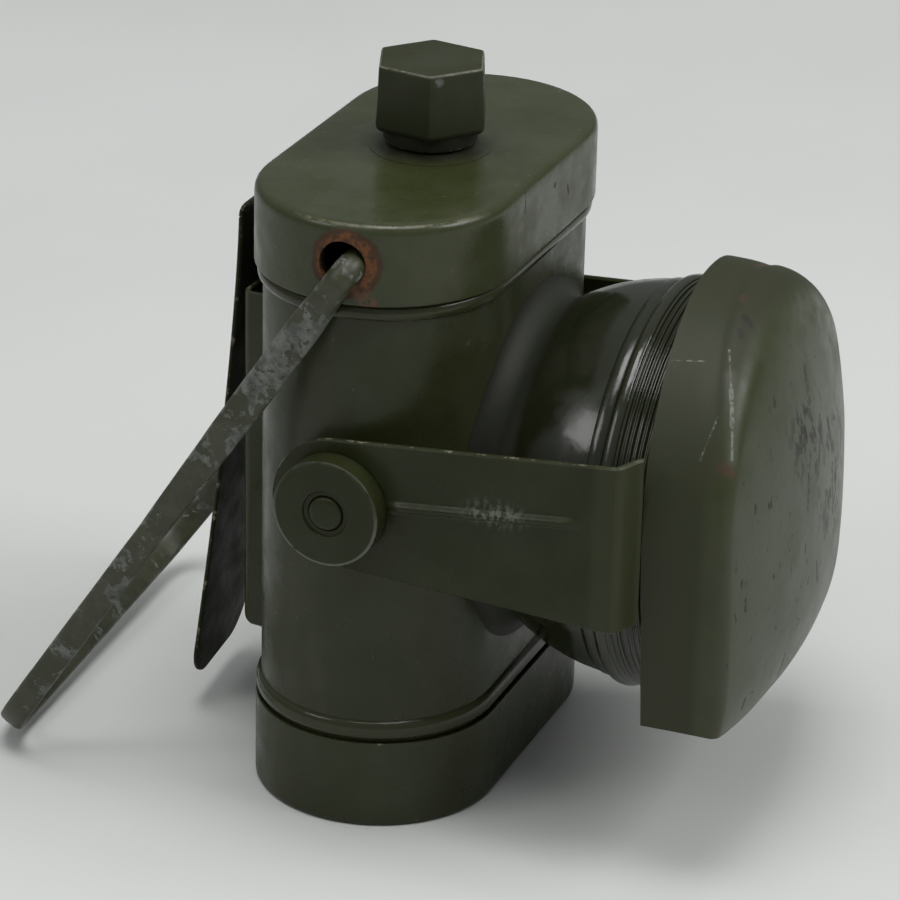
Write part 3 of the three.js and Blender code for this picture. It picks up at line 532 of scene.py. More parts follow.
def enamel(name, seed, marks=None, edge=0.55, rough=None, freckles=0.0, tint=1.0, shine=0.28, peeled=0.35):
    """Old olive enamel: uneven colour and gloss, fine specks, chipped edges, and the marks that marks(wires) adds.
    Each mark is (mask, colour, roughness)."""
    look = bpy.context.scene.lamp_finishes
    speck, fleck = (0.07, 0.075, 0.04, 1), (0.12, 0.12, 0.045, 1)
    w = Wiring(name)
    here = w.moved(offset=(seed * 0.13, seed * 0.07, 0))
    clouds = w.noise(14, 5, 0.6, here)
    dark, light = ((*(c * tint for c in paint[:3]), 1) for paint in (look.enamel, look.enamel_light))
    base = w.blend(w.ramp(clouds, 0.38, 0.68), dark, light)
    specks = w.patches((0.70, 0.76), 0.9, 3, 0.6, here)
    base = w.blend(w.both(specks, 0.3), base, speck)
    pits = w.patches((0.27, 0.22), 0.6, 2, 0.5, here)
    base = w.blend(w.both(pits, 0.5), base, tuple(look.primer))
    gloss = look.enamel_gloss if rough is None else rough
    roughness = w.patches((0.3, 0.75, gloss - 0.07, gloss + 0.14), 6, 4, 0.6, here)
    if freckles:
        flecks = w.patches((0.66, 0.70), 1.6, 4, 0.65, here)
        base = w.blend(w.both(flecks, freckles), base, fleck)
    edges = w.ramp(w.math("ADD", w.both(w.worn(), edge * look.wear), w.both(w.noise(2.2, 5, 0.7, here), 0.9)),
                   0.93, 1.02)
    base = w.blend(edges, base, tuple(look.bare))
    roughness = w.mixed(edges, roughness, 0.42)
    for mask, stain, stain_rough in (marks(w) if marks else ()):
        base = w.blend(mask, base, (*stain, 1))
        roughness = w.mixed(mask, roughness, stain_rough)
    peel = w.math("ADD", w.both(w.noise(1.3, 2, 0.5, here), 0.6), w.both(w.noise(5, 2, 0.5, here), 1.4))
    relief = w.math("SUBTRACT", peel, w.both(edges, 0.5))
    return w.shade(base, roughness, bump=relief, strength=peeled, depth=0.12, **{"Specular IOR Level": shine})


def plain(name, tint, rough, metal, size=2.0, spread=0.25):
    """A plain finish with a little unevenness in its colour, gloss and surface."""
    w = Wiring(name)
    clouds = w.noise(size, 4, 0.6)
    base = w.blend(w.ramp(clouds, 0.3, 0.7), tuple(c * (1 - spread) for c in tint) + (1,), (*tint, 1))
    roughness = w.ramp(clouds, 0.3, 0.7, rough, rough + 0.12)
    return w.shade(base, roughness, metal, bump=clouds, strength=0.2, depth=0.05)


def handle_finish():
    """Olive enamel worn off in flakes down to dull grey plating, with lighter and darker patches."""
    look = bpy.context.scene.lamp_finishes
    w = Wiring("chipped_zinc")
    flakes = w.noise(5.5, 8, 0.68, warp=0.5)
    fine = w.noise(1.2, 5, 0.7)
    mix = w.math("ADD", w.both(flakes, 0.75), w.both(fine, 0.25))
    height = w.along("Z")
    rubbed = w.math("ADD", w.both(w.worn(), 0.045), w.span(height, 45, 80, -0.028, 0.03))
    rubbed = w.math("ADD", rubbed, w.span(height, 83, 91, 0.0, -0.07))
    bare = w.ramp(w.math("ADD", mix, rubbed), 0.52, 0.545)
    grey = w.blend(w.patches((0.35, 0.65), 2.2, 6, 0.7), tuple(c * 0.4 for c in look.zinc[:3]) + (1,),
                   tuple(look.zinc))
    faded, grime_and_shade = (0.045, 0.046, 0.023, 1), (0.03, 0.028, 0.018, 1)
    olive = w.blend(w.patches((0.35, 0.65), 4, 5, 0.65), tuple(look.enamel), faded)
    base = w.blend(bare, olive, grey)
    dirt = w.patches((0.60, 0.68), 1.8, 6, 0.7, w.moved((0.3, 0, 0)))
    base = w.blend(w.both(dirt, 0.6), base, grime_and_shade)
    roughness = w.mixed(bare, 0.45, 0.58)
    relief = w.math("SUBTRACT", w.both(w.noise(0.8, 4, 0.6), 0.5), bare)
    return w.shade(base, roughness, 0.0, bump=relief, strength=0.5, depth=0.10)


def clear_glass(name, tint):
    """Clear glass with a little dust."""
    w = Wiring(name)
    dust = w.patches((0.35, 0.8, 0.03, 0.16), 8, 6, 0.65)
    return w.shade((*tint, 1), dust, 0.0, **{"Transmission Weight": 1.0, "IOR": 1.5})


finishes = {}


class OBJECT_OT_lamp_finishes(bpy.types.Operator):
    """Make the shared finishes, and give the solids inside the lamp theirs"""
    bl_idname = "object.lamp_finishes"
    bl_label = "Finishes"

    def execute(self, context):
        finishes.update({
            "brass": plain("dull_brass", (0.52, 0.38, 0.14), 0.38, 1.0),
            "mirror": plain("plated_mirror", (0.82, 0.82, 0.80), 0.08, 1.0, 12.0, 0.06),
            "glass": clear_glass("clear_glass", (0.93, 0.96, 0.95)),
            "rubber": plain("black_rubber", (0.02, 0.02, 0.02), 0.7, 0.0),
            "fibre": plain("red_fibre", (0.14, 0.045, 0.025), 0.7, 0.0, 0.8),
            "zinc": plain("dull_zinc", (0.36, 0.37, 0.36), 0.45, 0.8, 4.0),
            "card": plain("brown_card", (0.30, 0.21, 0.10), 0.85, 0.0, 0.7),
            "worn_steel": handle_finish(),
            "enamel": enamel("olive_enamel", 1),
        })
        slots = {row["node"]: row["material_slot"] for row in frame["record"]["subparts"]}
        for name, node in frame["nodes"].items():
            node.data.materials.clear()
            node.data.materials.append(finishes[slots[name]])
        return {"FINISHED"}


# Case, lid and cap

def case_bead(radius, middle, height, rise, inward, steps=8):
    """One rolled bead of the case's section, with its wear on the outside only."""
    return [(radius + rise * math.sin(math.pi * i / steps), middle - height / 2 * math.cos(math.pi * i / steps),
             0.6 if 2 <= i <= steps - 2 and not inward else 0.0) for i in range(steps + 1)]


class OBJECT_OT_lamp_case(bpy.types.Operator):
    """Build the case with its rolled beads, the pressed lid and the slip-on bottom cap"""
    bl_idname = "object.lamp_case"
    bl_label = "Case, Lid and Cap"

    lower_bead: length("Lower Bead", 3.2, "Height of the lower bead")
    upper_bead: length("Upper Bead", 2.5, "Height of the upper bead")
    lid_sheet: length("Lid Sheet", 1.0, "Thickness of the lid")
    cap_sheet: length("Cap Sheet", 0.6, "Thickness of the bottom cap")

    def execute(self, context):
        size = context.scene.lamp_case
        flat, radius, sheet = size.half_flat, size.radius, size.sheet
        head_opening, spindle_hole, lid_slack = 10 * mm, 4.5 * mm, 0.35 * mm
        lower = size.cap_height + 0.4 * mm + self.lower_bead / 2
        upper = size.lid_top - size.lid_skirt - 0.2 * mm - self.upper_bead / 2
        foot, top = 0.9 * mm, size.lid_top - self.lid_sheet - FIT

        def wall(at, inward):
            return [(at, foot, 0.0), *case_bead(at, lower, self.lower_bead, size.bead_rise, inward),
                    *[(at, height, 0.0) for height in between(lower, upper, 6, 1)[:-1]],
                    *case_bead(at, upper, self.upper_bead, size.bead_rise, inward), (at, top, 0.0)]

        outline = wall(radius, False) + wall(radius - sheet, True)[::-1]
        body = make_mesh("case_body", *loft(obround_rings(outline, flat), "loop"))
        body = drilled(body, *self.holes(size), rod(head_opening, 0.0, radius + DRILL_PAST, forward(BEAM)))
        add_piece("case_shell", body, enamel("case_enamel", 2, self.case_marks, 0.45), "case", "case_body")

        outer = radius + lid_slack + self.lid_sheet
        inner = outer - self.lid_sheet
        rim = size.lid_top - size.lid_skirt
        outline = [(0.0, size.lid_top - self.lid_sheet), (inner, size.lid_top - self.lid_sheet, 0.8 * mm),
                   (inner, rim), (outer, rim), (outer, size.lid_top, size.lid_edge), (0.0, size.lid_top)]
        outline = rounded(outline, 0.3 * mm, 0.8 * mm, closed=False, steps=6)
        outline = [(r, z, worn if z > size.lid_top - 3 * mm else worn * 0.6) for r, z, worn in outline]
        spindle = rod(spindle_hole, rim, size.lid_top + DRILL_PAST, upward)
        lid = drilled(make_mesh("top_lid", *loft(obround_rings(outline, flat), "open")), spindle, *self.holes(size))
        finish = enamel("lid_enamel", 3, self.lid_marks, 0.22, rough=0.28, freckles=0.4, tint=1.3, shine=0.36)
        add_piece("lid_shell", lid, finish, "case", "top_lid")

        outer = radius + FIT + self.cap_sheet
        inner = outer - self.cap_sheet
        outline = [(0.0, 0.0), (outer, 0.0, 0.8 * mm), (outer, size.cap_height), (inner, size.cap_height),
                   (inner, self.cap_sheet, 0.5 * mm), (0.0, self.cap_sheet)]
        rings = obround_rings(rounded(outline, 0.2 * mm, 0.8 * mm, False, 4), flat)
        cap = make_mesh("bottom_cap", *loft(rings, "open"))
        add_piece("cap_shell", cap, enamel("cap_enamel", 4, None, 0.38), "cap", "bottom_cap")
        return {"FINISHED"}

    def holes(self, size):
        """The drills for the two holes that the handle hooks into."""
        reach = size.half_flat + size.radius + DRILL_PAST
        return [rod(size.hole_radius, size.half_flat, reach, sideways(side, HOLE_Y, HOLE_Z)) for side in (-1, 1)]

    def case_marks(self, w):
        """Dull patches and scuffs, and the glossier rolled beads."""
        dull = w.patches((0.50, 0.70, 0.0, 0.35), 9, 5, 0.6, w.moved(scale=(1, 1, 0.35)))
        scuffs = w.patches((0.68, 0.74, 0.0, 0.5), 2.0, 4, 0.6, w.moved((0.2, 0, 0), (1, 1, 0.5)))
        height = w.along("Z")
        beads = w.either(w.band(height, 14.8, 15.6, 18.2, 19), w.band(height, 86, 86.4, 88.8, 89.2))
        return [(dull, (0.060, 0.062, 0.044), 0.5), (scuffs, (0.11, 0.115, 0.085), 0.5),
                (beads, (0.032, 0.036, 0.016), 0.17)]

    def lid_marks(self, w):
        """Painted shade round the knob's foot, the rubbed edge, the rust at the handle's holes, a rusty streak and dark
        chips.
        """
        height = w.along("Z")
        edge = w.both(w.band(height, 101.45, 101.55, 101.76, 101.86), w.patches((0.40, 0.56), 2.5, 5, 0.75))
        edge = w.both(edge, w.spot((-33, -7, 101.7), 15.5, 0.25))
        rusty = w.math("ADD", w.either(w.spot((-37, -1.9, 95.6), 7.2, 0.45), w.spot((37, -1.9, 95.6), 7, 0.45)),
                       w.math("SUBTRACT", w.noise(1.6, 6, 0.75), 0.5))
        rust = w.ramp(rusty, 0.42, 0.56)
        orange = w.both(w.ramp(rusty, 0.72, 0.95), w.patches((0.42, 0.56), 1.1, 5, 0.7, w.moved((0.5, 0, 0))))
        streak = w.both(w.stroke((-37.2, -3.8, 92), (-36.6, -6, 89), 1.8, 0.7), w.patches((0.42, 0.56), 1.2, 5, 0.7))
        strokes = w.either(w.stroke((-10.8, -20.1, 101), (-11, -20.4, 97.6), 0.3),
                           w.either(w.spot((1.8, -20.4, 98), 0.7), w.stroke((7.5, -20.4, 96), (8, -20.4, 94.6), 0.4)))
        # painted shade: the lid is darkened in patches round the knob's foot
        grime_and_shade = w.both(w.spot((0, 0, 102), 13, 0.45), w.patches((0.38, 0.62), 3.5, 5, 0.65))
        return [(w.both(grime_and_shade, 0.65), (0.012, 0.012, 0.008), 0.55), (w.both(edge, 0.55), (0.15, 0.14, 0.09), 0.4),
                (w.both(rust, 0.9), (0.055, 0.026, 0.012), 0.8), (w.both(orange, 0.85), (0.17, 0.065, 0.022), 0.85),
                (w.both(streak, 0.8), (0.13, 0.06, 0.03), 0.75),
                (w.both(strokes, 0.8), (0.008, 0.007, 0.005), 0.6)]


class OBJECT_OT_lamp_switch(bpy.types.Operator):
    """Build the hexagonal screw-down knob with its neck, and the flanged bush below it"""
    bl_idname = "object.lamp_switch"
    bl_label = "Switch"

    turned: turn("Turn", -9.2, "How far the knob is turned")
    corner: length("Corner", 0.5, "Radius of the knob's upright edges")

    def execute(self, context):
        size = context.scene.lamp_case
        neck_radius, neck_height, sunk = 7.4 * mm, 2.4 * mm, 0.8 * mm
        foot = size.lid_top + 1.2 * mm
        hex_foot = foot + neck_height
        top = hex_foot + size.knob_height
        outline = [(0.0, foot), (neck_radius, foot), (neck_radius, hex_foot + sunk), (0.0, hex_foot + sunk)]
        neck = loft(turned_rings(rounded(outline, 0.4 * mm, 0.4 * mm, False), upward, 64), "open")
        # The hexagon's rows: each a share of its full width, a height and the wear
        rows = [(0.0, hex_foot, 0.0), (0.88, hex_foot, 0.0), (0.93, hex_foot + 0.08 * mm, 0.0),
                (0.985, hex_foot + 0.6 * mm, 0.2), (1.0, hex_foot + 1.1 * mm, 0.0), (0.956, top - 0.7 * mm, 0.0),
                (0.953, top - 0.45 * mm, 0.4), (0.943, top - 0.18 * mm, 1.0), (0.925, top - 0.03 * mm, 1.0),
                (0.91, top, 0.5), (0.87, top, 0.0), (0.4, top, 0.0), (0.0, top, 0.0)]
        rings = [[(*self.corner_point(size.knob_flats / 2, scale, angle, z), worn)
                  for angle in steps_of(2 * math.pi, 96)[:-1]] for scale, z, worn in rows]
        mesh = make_mesh("switch_knob", *joined(neck, loft(rings, "open")))
        finish = enamel("knob_enamel", 5, self.knob_marks, 0.5, rough=0.5, tint=0.9)
        add_piece("knob_shell", mesh, finish, "switch", "switch_knob", sharp=44)

        outline = in_mm((2.3, 95.5), (4.2, 95.5), (4.2, 102.3), (9.8, 102.04), (8.2, 102.35, 1.2), (7.0, 102.9, 0.8),
                        (2.3, 102.9))
        bush = turned_mesh("switch_bush", rounded(outline, 0.22 * mm, 0.3 * mm), upward, 72)
        add_piece("bush_flange", bush, enamel("bush_enamel", 21, self.bush_marks, 0.1), "case", "switch_bush")
        return {"FINISHED"}

    def corner_point(self, apothem, scale, angle, z):
        """A point of a hexagon with rounded corners, each shorter than the sharp one by a share of its radius."""
        half_side, shortening, cosine = math.pi / 6, 0.1547, 0.866
        local = (angle + half_side) % (math.pi / 3) - half_side
        to_corner = half_side - abs(local)
        cut = (apothem / math.cos(half_side) - self.corner * shortening / cosine) / math.cos(to_corner * 0.9)
        radius = min(apothem / math.cos(local), cut)
        at = angle + self.turned + math.radians(-90) + half_side
        return radius * scale * math.cos(at), radius * scale * math.sin(at), z

    def bush_marks(self, w):
        """Painted shade over the collar under the knob, in patches."""
        # painted shade: the collar under the knob is darkened
        grime_and_shade = w.both(w.spot((0, 0, 102.9), 10.2, 0.35), w.patches((0.25, 0.6, 0.5, 1.0), 2.5, 5, 0.65))
        return [(w.both(grime_and_shade, 0.85), (0.011, 0.011, 0.007), 0.6)]

    def knob_marks(self, w):
        """Rubbed top edges, a bare corner, and painted shade at the foot, darker towards the bottom under the hexagon.
        """
        height = w.along("Z")
        rubbed = w.both(w.span(height, 114.8, 115.6), w.ramp(w.worn(), 0.5, 1.0), w.patches((0.30, 0.5), 3, 5, 0.7))
        corner = w.both(w.spot((-8.3, -5.1, 115.2), 1.7, 0.4, (1, 1, 1.4)), w.patches((0.36, 0.5), 1.3, 5, 0.7))
        # painted shade: the neck under the hexagon is darkened towards the bottom
        grime_and_shade = w.span(height, 105.8, 104.6)
        return [(w.both(rubbed, 0.7), (0.12, 0.12, 0.09), 0.5), (w.both(corner, 0.8), (0.15, 0.15, 0.14), 0.5),
                (w.both(grime_and_shade, 0.7), (0.010, 0.009, 0.006), 0.75)]


class OBJECT_OT_lamp_head(bpy.types.Operator):
    """Build the bowl with its solder fillet and steps, the grooved lens ring, the glass and the reflector"""
    bl_idname = "object.lamp_head"
    bl_label = "Lamp Head"

    sheet: length("Sheet", 0.8, "Thickness of the bowl")
    grooves: bpy.props.IntProperty(name="Grooves", description="How many grooves the lens ring has", default=7, min=1)
    bead: length("Bead Width", 2.0, "Width of the rolled bead at the lens ring's back edge")
    bead_rise: length("Bead Rise", 0.5, "How far the rolled bead stands out")
    groove_spacing: length("Groove Spacing", 0.92, "From one groove to the next")
    steps: bpy.props.IntProperty(name="Steps", description="Faces round the bowl", default=144, min=12)

    def case_depth(self, x):
        """How deep the case's front lies at a distance from its middle."""
        size = bpy.context.scene.lamp_case
        past = max(0.0, abs(x) - size.half_flat)
        return math.sqrt(max(size.radius ** 2 - past ** 2, 0.0))

    def fillet(self, angle):
        """Points of one section from the case, through the fillet, on to the bowl: [radius, depth]."""
        size = bpy.context.scene.lamp_head
        bulge, centre, blend = size.radius, size.centre_depth, size.fillet
        across = abs(math.cos(angle))

        def foot(r):
            depth = self.case_depth(r * across)
            step = 0.01 * mm
            slope = (self.case_depth((r + step) * across) - self.case_depth((r - step) * across)) / (2 * step)
            normal = Vector((-slope, 1.0)).normalized()
            return Vector((r, depth)), normal

        # The radius where the fillet's circle touches both the case and the bowl, found by halving
        low, high = 15 * mm, 35.8 * mm
        for _ in range(40):
            middle = (low + high) / 2
            base, normal = foot(middle)
            hub = base + normal * blend
            if (hub - Vector((0.0, centre))).length < bulge + blend:
                low = middle
            else:
                high = middle
        base, normal = foot(low)
        hub = base + normal * blend
        to_bowl = (Vector((0.0, centre)) - hub).normalized()
        start, end = math.atan2(-normal.y, -normal.x), math.atan2(to_bowl.y, to_bowl.x)
        sweep = (end - start + math.pi) % (2 * math.pi) - math.pi
        return [hub + Vector((math.cos(start + part), math.sin(start + part))) * blend for part in steps_of(sweep, 8)]

    def execute(self, context):
        size = context.scene.lamp_head
        place = forward(size.height)
        self.build_bowl(size, place)
        self.build_ring(size)
        self.build_glass(place)
        self.build_reflector(place)
        return {"FINISHED"}

    def build_bowl(self, size, place):
        """The bowl outside and inside, from the case through the fillet, the sphere and the steps to the neck."""
        bulge, centre = size.radius, size.centre_depth
        step, thread, rim = 38.2 * mm, 40.4 * mm, 45.6 * mm
        neck, thread_radius = 29.5 * mm, 30.3 * mm
        angles = steps_of(2 * math.pi, self.steps)[:-1]
        columns = []
        for angle in angles:
            side = self.fillet(angle)
            seat = side[0] + Vector((0.25 * mm, 0.0))
            seat.y = self.case_depth(seat.x * abs(math.cos(angle))) + 0.02 * mm
            bowl_start = math.asin(max(-1.0, min(1.0, (side[-1].y - centre) / bulge)))
            bowl_end = math.asin((step - centre) / bulge)
            bowl = [Vector((bulge * math.cos(t), centre + bulge * math.sin(t)))
                    for t in between(bowl_start, bowl_end, 16, 1)]
            steps = [Vector(pair) for pair in (
                (bowl[-1].x + 0.12 * mm, step + 0.05 * mm), (bowl[-1].x + 0.25 * mm, step + 0.2 * mm),
                (bowl[-1].x + 0.25 * mm, thread - 0.3 * mm), (bowl[-1].x + 0.1 * mm, thread),
                (thread_radius, thread), (thread_radius, rim), (neck, rim))]
            hollow = bulge - self.sheet
            inner = [Vector((min(hollow * math.cos(t), neck), centre + hollow * math.sin(t)))
                     for t in between(bowl_end, bowl_start, 16)]
            heel_r = inner[-1].x - 0.4 * mm
            heel = Vector((heel_r, self.case_depth(heel_r * abs(math.cos(angle))) + 0.02 * mm))
            columns.append([seat, *side, *bowl, *steps, *inner, heel])
        first_step = 1 + len(side) + len(bowl)
        worn_rows = {first_step + 1, first_step + 2}
        rings = [[(*place(columns[j][i].x * math.cos(a), columns[j][i].x * math.sin(a), columns[j][i].y),
                   0.7 if i in worn_rows else 0.0) for j, a in enumerate(angles)] for i in range(len(columns[0]))]
        bowl = uneven(make_mesh("head_shell", *loft(rings, "loop")), 0.05 * mm, 14 * mm, 3.0)
        finish = enamel("bowl_enamel", 6, self.bowl_marks, 0.3, rough=0.18, tint=0.42, shine=0.5, peeled=0.16)
        add_piece("head_bowl", bowl, finish, "case", "head_shell", sharp=50)

    def build_ring(self, size):
        """The lens ring, with its grooves and its rolled back edge."""
        back, front, lip, bore, mouth = 40.7 * mm, 50.6 * mm, 49.7 * mm, 30.6 * mm, 28.4 * mm
        first_groove = back + 2.7 * mm
        outline = rounded([(bore, back), (bore, lip), (mouth, lip), (mouth, front),
                           (size.ring_radius, front - 0.1 * mm, 0.7 * mm), *self.rolled_edge(size.ring_radius, back)],
                          0.2 * mm, 0.15 * mm)
        ring = turned_by_nodes("lens_ring", divided(outline, size.ring_radius, 0.09 * mm),
                               enamel("ring_enamel", 7, None, 0.2, rough=0.15, tint=0.55, shine=0.5), size.height,
                               (self.grooves, size.ring_radius, first_groove, self.groove_spacing, size.groove),
                               sides=self.steps)
        add_piece("grooved_ring", ring, ring.materials[0], "ring", "lens_ring")

    def build_glass(self, place):
        """The lens: a round pane with eased edges, whose front bulges a little."""
        back, front, edge, eased, face, bulge = 47.8 * mm, 49.4 * mm, 30.2 * mm, 29.9 * mm, 28 * mm, 0.9 * mm
        outline = [(0.0, back, 0.0), (eased, back, 0.0), (edge, back + 0.3 * mm, 0.0),
                   (edge, front - 0.5 * mm, 0.0), (eased, front - 0.2 * mm, 0.0),
                   *[(face * (1 - k / 8), front - 0.2 * mm + bulge * (1 - (1 - k / 8) ** 2), 0.0) for k in range(9)]]
        glass = turned_mesh("lens_glass", outline, place, ends="open")
        add_piece("lamp_glass", glass, finishes["glass"], "case", "lens_glass", slot="glass")

    def build_reflector(self, place):
        """The reflector: a thin paraboloid with a flat rim."""
        mouth, neck, rim_depth, neck_depth = 28 * mm, 6.6 * mm, 45.9 * mm, 29.3 * mm
        edge, sheet = 30.2 * mm, 0.5 * mm
        bowl_at = [(r, rim_depth - (rim_depth - neck_depth) * (mouth ** 2 - r * r) / (mouth ** 2 - neck ** 2), 0.0)
                   for r in between(neck, mouth, 20)]
        outline = [*bowl_at, (edge, rim_depth, 0.0), (edge, rim_depth + sheet, 0.0),
                   *[(r, depth + sheet, 0.0) for r, depth, _ in bowl_at[::-1]]]
        mirror = turned_mesh("reflector", outline, place)
        add_piece("mirror_bowl", mirror, finishes["mirror"], "case", "reflector", slot="mirror")

    def rolled_edge(self, radius, back):
        """The rolled bead round the ring's back edge."""
        bow = [(radius + self.bead_rise * math.sin(angle), back + self.bead * (0.5 + 0.5 * math.cos(angle)), 0.05 * mm)
               for angle in steps_of(math.pi, 8)]
        return [(radius, back + (self.bead + 0.1 * mm)), *bow]

    def bowl_marks(self, w):
        """Duller, darker paint over the solder fillet: the darker colour is painted shade in the crease between the
        bowl and the case.
        """
        depth = w.along("Y")
        solder = w.span(depth, -26.2, -23.6)
        return [(solder, (0.012, 0.014, 0.006), 0.7)]


class OBJECT_OT_lamp_hood(bpy.types.Operator):
    """Build the blackout hood, its two ribbed arms, and the pivots' bosses, washers and pins"""
    bl_idname = "object.lamp_hood"
    bl_label = "Hood and Arms"

    yaw: turn("Yaw", 2.9, "How far the hood is turned on its bent arms")
    pitch: turn("Pitch", -2.2, "How far the hood leans")
    taper: share("Taper", 0.018, "How much narrower the wall is at its front")
    top_edge: length("Top Edge", 7.5, "Radius between the wall and the front at the top of the arch")
    valley: length("Valley", 0.3, "Depth of the faint groove where the wall meets the front at the top")
    wall_fall: length("Wall Fall", 1.6, "How far the front's sides fall back at the open bottom")
    dome_fall: length("Dome Fall", 2.3, "How far the front's middle falls back further")
    rim_depth: length("Rim Depth", 47.8, "Depth of the hood's back rim")
    arch_height: length("Arch Height", 54.8, "Height of the arch's centre")
    foot_slope: turn("Foot Slope", 4.8, "Slope of the open bottom's edge")

    def execute(self, context):
        size = context.scene.lamp_hood
        self.build_shell(size)
        for side, end in ((-1, "left"), (1, "right")):
            self.build_arm(size, side, end)
            self.build_pivot(size, side, end)
        return {"FINISHED"}

    def profile(self, size, inset, lifted):
        """The hood's section at one place on the arch, [radius, depth, wear], from the rim to the axis. lifted is 0
        at the foot of the arch and 1 at its top, where the corner is wider."""
        end = size.half_width * (1 - self.taper)
        edge = size.edge + (self.top_edge - size.edge) * lifted ** 1.8
        crown = end - edge
        lift = 0.3      # slope of the front at its edge, found by trial so that the middle bulges by the dome's height
        for _ in range(12):
            rise = (crown + edge * math.sin(lift)) * math.tan(lift) / 2 - edge * (1 - math.cos(lift))
            lift *= (size.dome / rise) ** 0.7
        start, corner = size.half_width - inset, size.wall - edge
        worn = 0.0 if inset else 1 - lifted
        made = [(start, 0.0, 0.0 if inset else 0.4)]
        for k in range(1, 13):
            depth = 0.4 * mm + (corner - 0.4 * mm) * (k - 1) / 11
            groove = self.valley * lifted * math.exp(-((depth - corner + 0.6 * mm) / (1.6 * mm)) ** 2)
            made.append((start - (size.half_width - end) * depth / corner - groove, depth, 0.0))
        for k in range(1, 10):
            angle = (math.pi / 2 - lift) * k / 9
            made.append((crown + (edge - inset) * math.cos(angle), corner + (edge - inset) * math.sin(angle),
                         worn if 2 <= k <= 6 else 0.0))
        rim, depth = made[-1][:2]
        height = size.wall + size.dome - inset - depth
        made += [(rim * (1 - k / 24), depth + height * (1 - (1 - k / 24) ** 2), 0.0) for k in range(1, 25)]
        return made

    def build_shell(self, size):
        """The pressed hood: its wall and front in one grid of points, inside and outside."""
        place = Matrix.Translation((0, -self.rim_depth, self.arch_height)) \
            @ Matrix.Rotation(self.yaw, 4, "Z") @ Matrix.Rotation(self.pitch, 4, "X")
        arch, legs = 64, 28
        columns = [(1, k / legs) for k in range(legs + 1)] + [(0, math.pi * k / arch) for k in range(1, arch)] \
            + [(-1, 1 - k / legs) for k in range(legs + 1)]
        grid = []
        for side, at in columns:
            lifted = 0.0 if side else math.sin(at)
            profile = self.profile(size, 0.0, lifted) + self.profile(size, size.sheet, lifted)[::-1]
            grid.append([self.hung(size, place, side, at, *point) for point in profile])
        rows = len(grid[0])
        half = rows // 2
        points = [column[i] for i in range(rows) for column in grid]
        count = len(grid)
        faces = []
        for i in range(rows):
            if i != half - 1:
                after = (i + 1) % rows * count
                faces += [(i * count + j, i * count + j + 1, after + j + 1, after + j) for j in range(count - 1)]
        for end in (0, count - 1):
            faces += [(i * count + end, (i + 1) * count + end, (rows - 2 - i) * count + end,
                       (rows - 1 - i) * count + end) for i in range(half - 1)]
        shell = uneven(make_mesh("hood_shell", points, faces), 0.16 * mm, 11 * mm, 7.0)
        # tint 1.3 lightens the whole hood's enamel as painted light; the marks take the wall back down
        finish = enamel("hood_enamel", 8, self.hood_marks, 0.36, rough=0.37, tint=1.3, shine=0.32)
        add_piece("hood_pressing", shell, finish, "hood", "hood_shell", sharp=50)

    def hung(self, size, place, side, at, r, depth, worn):
        """Puts a point of the section where the hood hangs, and lets the front fall back towards the open bottom."""
        if not side:
            return (*(place @ Vector((r * math.cos(at), -depth, r * math.sin(at)))), worn)
        reach = size.half_width * (1 - self.taper) - size.edge
        down = (1 - at) ** 4.4
        middle = max(0.0, 1 - (r / reach) ** 2) if depth > size.wall / 2 else 0.0
        depth -= down * (self.wall_fall * min(1.0, depth / size.wall) + self.dome_fall * middle)
        foot = -size.leg - depth * math.tan(self.foot_slope)
        return (*(place @ Vector((side * r, -depth, foot * (1 - at)))), worn if at else max(worn, 0.8))

    def hood_marks(self, w):
        """The scratches, chips and primer spots on the front, each a line between two points in millimetres, with
        painted light on the front and painted shade on the wall.
        """
        depth = w.along("Y")
        scratches = (((-17.1, -56.1, 83.8), (-22.3, -58.4, 79.7), 0.26),
                     ((-22.3, -58.4, 79.7), (-25.7, -59.9, 75.6), 0.48),
                     ((-25.7, -59.9, 75.6), (-28.3, -61.0, 71.2), 0.3))
        chips = (((-10.4, -56.2, 86.7), (-11.4, -57.2, 85.8), 0.9), ((-13.2, -56.4, 85.6), (-14.2, -57, 85), 0.7),
                 ((-1.1, -63.3, 76.5), (-2.1, -63.9, 74.8), 0.7), ((-14.5, -62.9, 75.9), (-15, -63.1, 75.2), 0.7),
                 ((0.6, -65.8, 68), (-2.8, -67.3, 59.1), 0.5), ((4.8, -66, 65.4), (6.3, -66.8, 60), 1.0),
                 ((6.3, -66.8, 57.5), (7.1, -67.1, 48.7), 0.6), ((-7.2, -67, 61.2), (-8.1, -67.4, 55.7), 0.6),
                 ((-3, -67.9, 45.1), (-2, -67.8, 41), 0.5), ((-13.2, -66.7, 32.9), (-12.8, -65.7, 29), 0.6),
                 ((-26.3, -64.6, 30.9), (-26.5, -64.4, 29.4), 0.6), ((-23.8, -65, 31), (-23.9, -65, 30), 0.5),
                 ((-28.4, -64.4, 48.8), (-28.4, -64.4, 47), 0.5), ((-25.2, -64.2, 63), (-25.4, -64.3, 62), 0.5))
        primer = (((7.8, -52, 87.7), (11.4, -52.5, 86.7), 1.1), ((-6.1, -54.5, 88.1), (-6.8, -54.6, 88), 1.1),
                  ((-29.6, -59.9, 70.2), (-29, -61.5, 69.3), 1.2), ((-32.7, -62.4, 28.1), (-32.6, -62.4, 27.8), 0.8))
        faint = (((-29.6, -56.5, 70.9), (-25.7, -57.6, 76.4), 0.24), ((-20.8, -48.4, 82.1), (-19.6, -53.2, 82.4), 0.2))
        scratched, chipped, primed, grazed = (w.either(0.0, *(w.stroke(*line) for line in lines))
                                              for lines in (scratches, chips, primer, faint))
        broken = w.patches((0.36, 0.56), 0.7, 5, 0.75)
